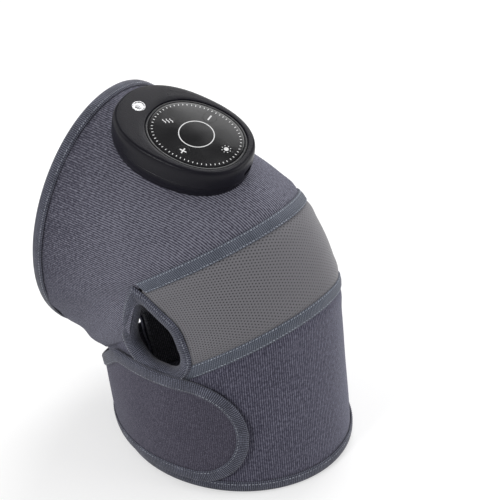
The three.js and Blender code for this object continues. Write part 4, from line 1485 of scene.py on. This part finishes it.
plus_x, plus_y = key_places["plus_key"][:2]
minus_x, minus_y = key_places["minus_key"][:2]
arm = 0.0024
bar_clear = 0.0005
print_marks("plus_sign", [
    [(plus_x - arm, plus_y), (plus_x + arm, plus_y)],
    [(plus_x, plus_y - arm), (plus_x, plus_y - bar_clear)],
    [(plus_x, plus_y + bar_clear), (plus_x, plus_y + arm)],
], "plus_key_body", 0.0009)
print_marks("minus_sign", [[(minus_x, minus_y - arm), (minus_x, minus_y + arm)]], "minus_key_body", 0.0010)
wave_run = Vector((0.0034, -0.0020))
wave_side = Vector((0.0020, 0.0034)).normalized()
wave_step = Vector((0.0018, 0.00155))
wave_x, wave_y = key_places["vibration_key"][:2]
wave_middle = Vector((wave_x + 0.0004, wave_y - 0.0003))
wave_swing = 0.00035
waved = [wave_run * (share - 0.5) - wave_side * wave_swing * math.sin(2 * math.pi * share)
         for share in spread(0, 1, 20)]
print_marks("wave_signs", [[tuple(wave_middle + wave_step * number + point) for point in waved]
                           for number in (-1, 0, 1)], "vibration_key_body", 0.0006)
sun_x = key_places["heat_key"][0] + 0.0007
sun_y = key_places["heat_key"][1] - 0.0007
ray_distance = 0.0029
ray_reach = 0.0003
sun_rings = [arc(sun_x, sun_y, radius, 32) for radius in (0.0003, 0.0008, 0.0013)]
print_marks("sun_sign", sun_rings, "heat_key_body", 0.00055)
sun_rays = [[(x - ray_reach, y), (x + ray_reach, y)] for x, y in arc(sun_x, sun_y, ray_distance, 8)[1:]]
print_marks("sun_rays", sun_rays, "heat_key_body", 0.0006)

for node, (x, y, radius) in key_places.items():
    key_profile = [
        (0, lip_top - key_lip), (radius + key_lip - 0.0002, lip_top - key_lip),
        (radius + key_lip, lip_top - 0.0007), (radius + key_lip, lip_top), (radius, lip_top),
        (radius, lens_top - 0.0003), (radius - 0.00003, lens_top - 0.00003), (radius - 0.0001, lens_top),
        (radius - 0.00016, lens_top), (radius * 0.75, lens_top), (radius * 0.5, lens_top),
        (radius * 0.25, lens_top), (0, lens_top),
    ]

    def key_point(distance, turn):
        return round_point(x, y, distance, turn)

    key = loft(node.replace("_key", "_button"), key_profile, key_point, 96)
    for vertex in key.data.vertices:
        if vertex.co.z > lens_top - 0.0001:
            vertex.co.z += crown(vertex.co.x, vertex.co.y) - lens_top
    finish_unit(key, 40, gloss, "gloss_panel", node + "_body", node)


# Bright disc: a plain plated disc with a raised rim and a turned middle, pressed into a round seat in the
# face behind the panel.

disc_profile = [
    (0, 0.0180), (badge_radius, 0.0180), (badge_radius, 0.01855), (badge_radius - 0.0001, 0.01868),
    (badge_radius - 0.0003, 0.0187), (badge_radius - 0.0006, 0.01868), (badge_radius - 0.0008, 0.01852),
    (badge_radius - 0.0011, 0.01845), (0.0024, 0.01855), (0.0012, 0.01862), (0, 0.01864),
]


def disc_point(distance, turn):
    return round_point(badge_ahead, 0, distance, turn)


bright_plate = metal("bright_plate", (0.18, 0.18, 0.185), (0.75, 0.75, 0.77), 0.25)
disc = loft("bright_disc", disc_profile, disc_point, 96)
finish_unit(disc, 30, bright_plate, "bright_metal", "wrap", "badge_disc")


# Floor, light and camera: a plain pale floor, lit by four soft boxes and a pale surround, and seen from the
# photograph's angle.

view_azimuth = 33.58
view_elevation = 30.89
view_distance = 0.9
view_target = Vector((0.01108, 0, 0.14864)) + wrap_shift
view_lens = 95.3
floor_glow = 0.48
sky_light = 0.36
lamp_distance = 1.4

start_alone()
bpy.ops.mesh.primitive_plane_add(size=6, location=(0, 0, 0))
floor = bpy.context.object
floor.name = "floor"
floor_material = start_material("pale_floor", 0.8, base_color=(0.60, 0.60, 0.60, 1),
                                emission_color=(1, 1, 1, 1), specular_ior_level=0.0)
ray = add_node(floor_material, "ShaderNodeLightPath").outputs
seen_rays = add_up(floor_material, (ray["Is Camera Ray"], floor_glow), (ray["Is Glossy Ray"], floor_glow),
                   (ray["Is Transmission Ray"], floor_glow))
drive(floor_material, "Emission Strength", seen_rays)
floor.data.materials.append(floor_material)

world = bpy.data.worlds.new("studio")
bpy.context.scene.world = world
world.use_nodes = True
background = world.node_tree.nodes["Background"].inputs
background["Color"].default_value = (1, 1, 1, 1)
background["Strength"].default_value = sky_light


def way_out(azimuth, elevation):
    """The way from the object to a lamp or the camera, in degrees round from the front and up from level."""
    a = math.radians(azimuth)
    e = math.radians(elevation)
    return Vector((math.sin(a) * math.cos(e), -math.cos(a) * math.cos(e), math.sin(e)))


def soft_box(name, azimuth, elevation, size, power):
    """A square area lamp that points at the object."""
    away = way_out(azimuth, elevation)
    bpy.ops.object.light_add(type="AREA", location=view_target + away * lamp_distance)
    lamp = bpy.context.object
    lamp.name = name
    lamp.data.size = size
    lamp.data.energy = power
    lamp.rotation_euler = away.to_track_quat("Z", "Y").to_euler()


soft_box("left_box", -66, 30, 1.2, 6.1)
soft_box("right_box", 122, 24, 1.0, 8.6)
soft_box("back_box", 198, 46.7, 0.84, 10.4)
soft_box("front_box", -6, 26, 0.25, 5.5)

camera_data = bpy.data.cameras.new("camera")
camera_data.lens = view_lens
camera = bpy.data.objects.new("camera", camera_data)
bpy.context.scene.collection.objects.link(camera)
view_back = way_out(view_azimuth, view_elevation)
camera.location = view_target + view_back * view_distance
camera.rotation_euler = view_back.to_track_quat("Z", "Y").to_euler()
bpy.context.scene.camera = camera
bpy.context.scene.view_settings.view_transform = "Standard"
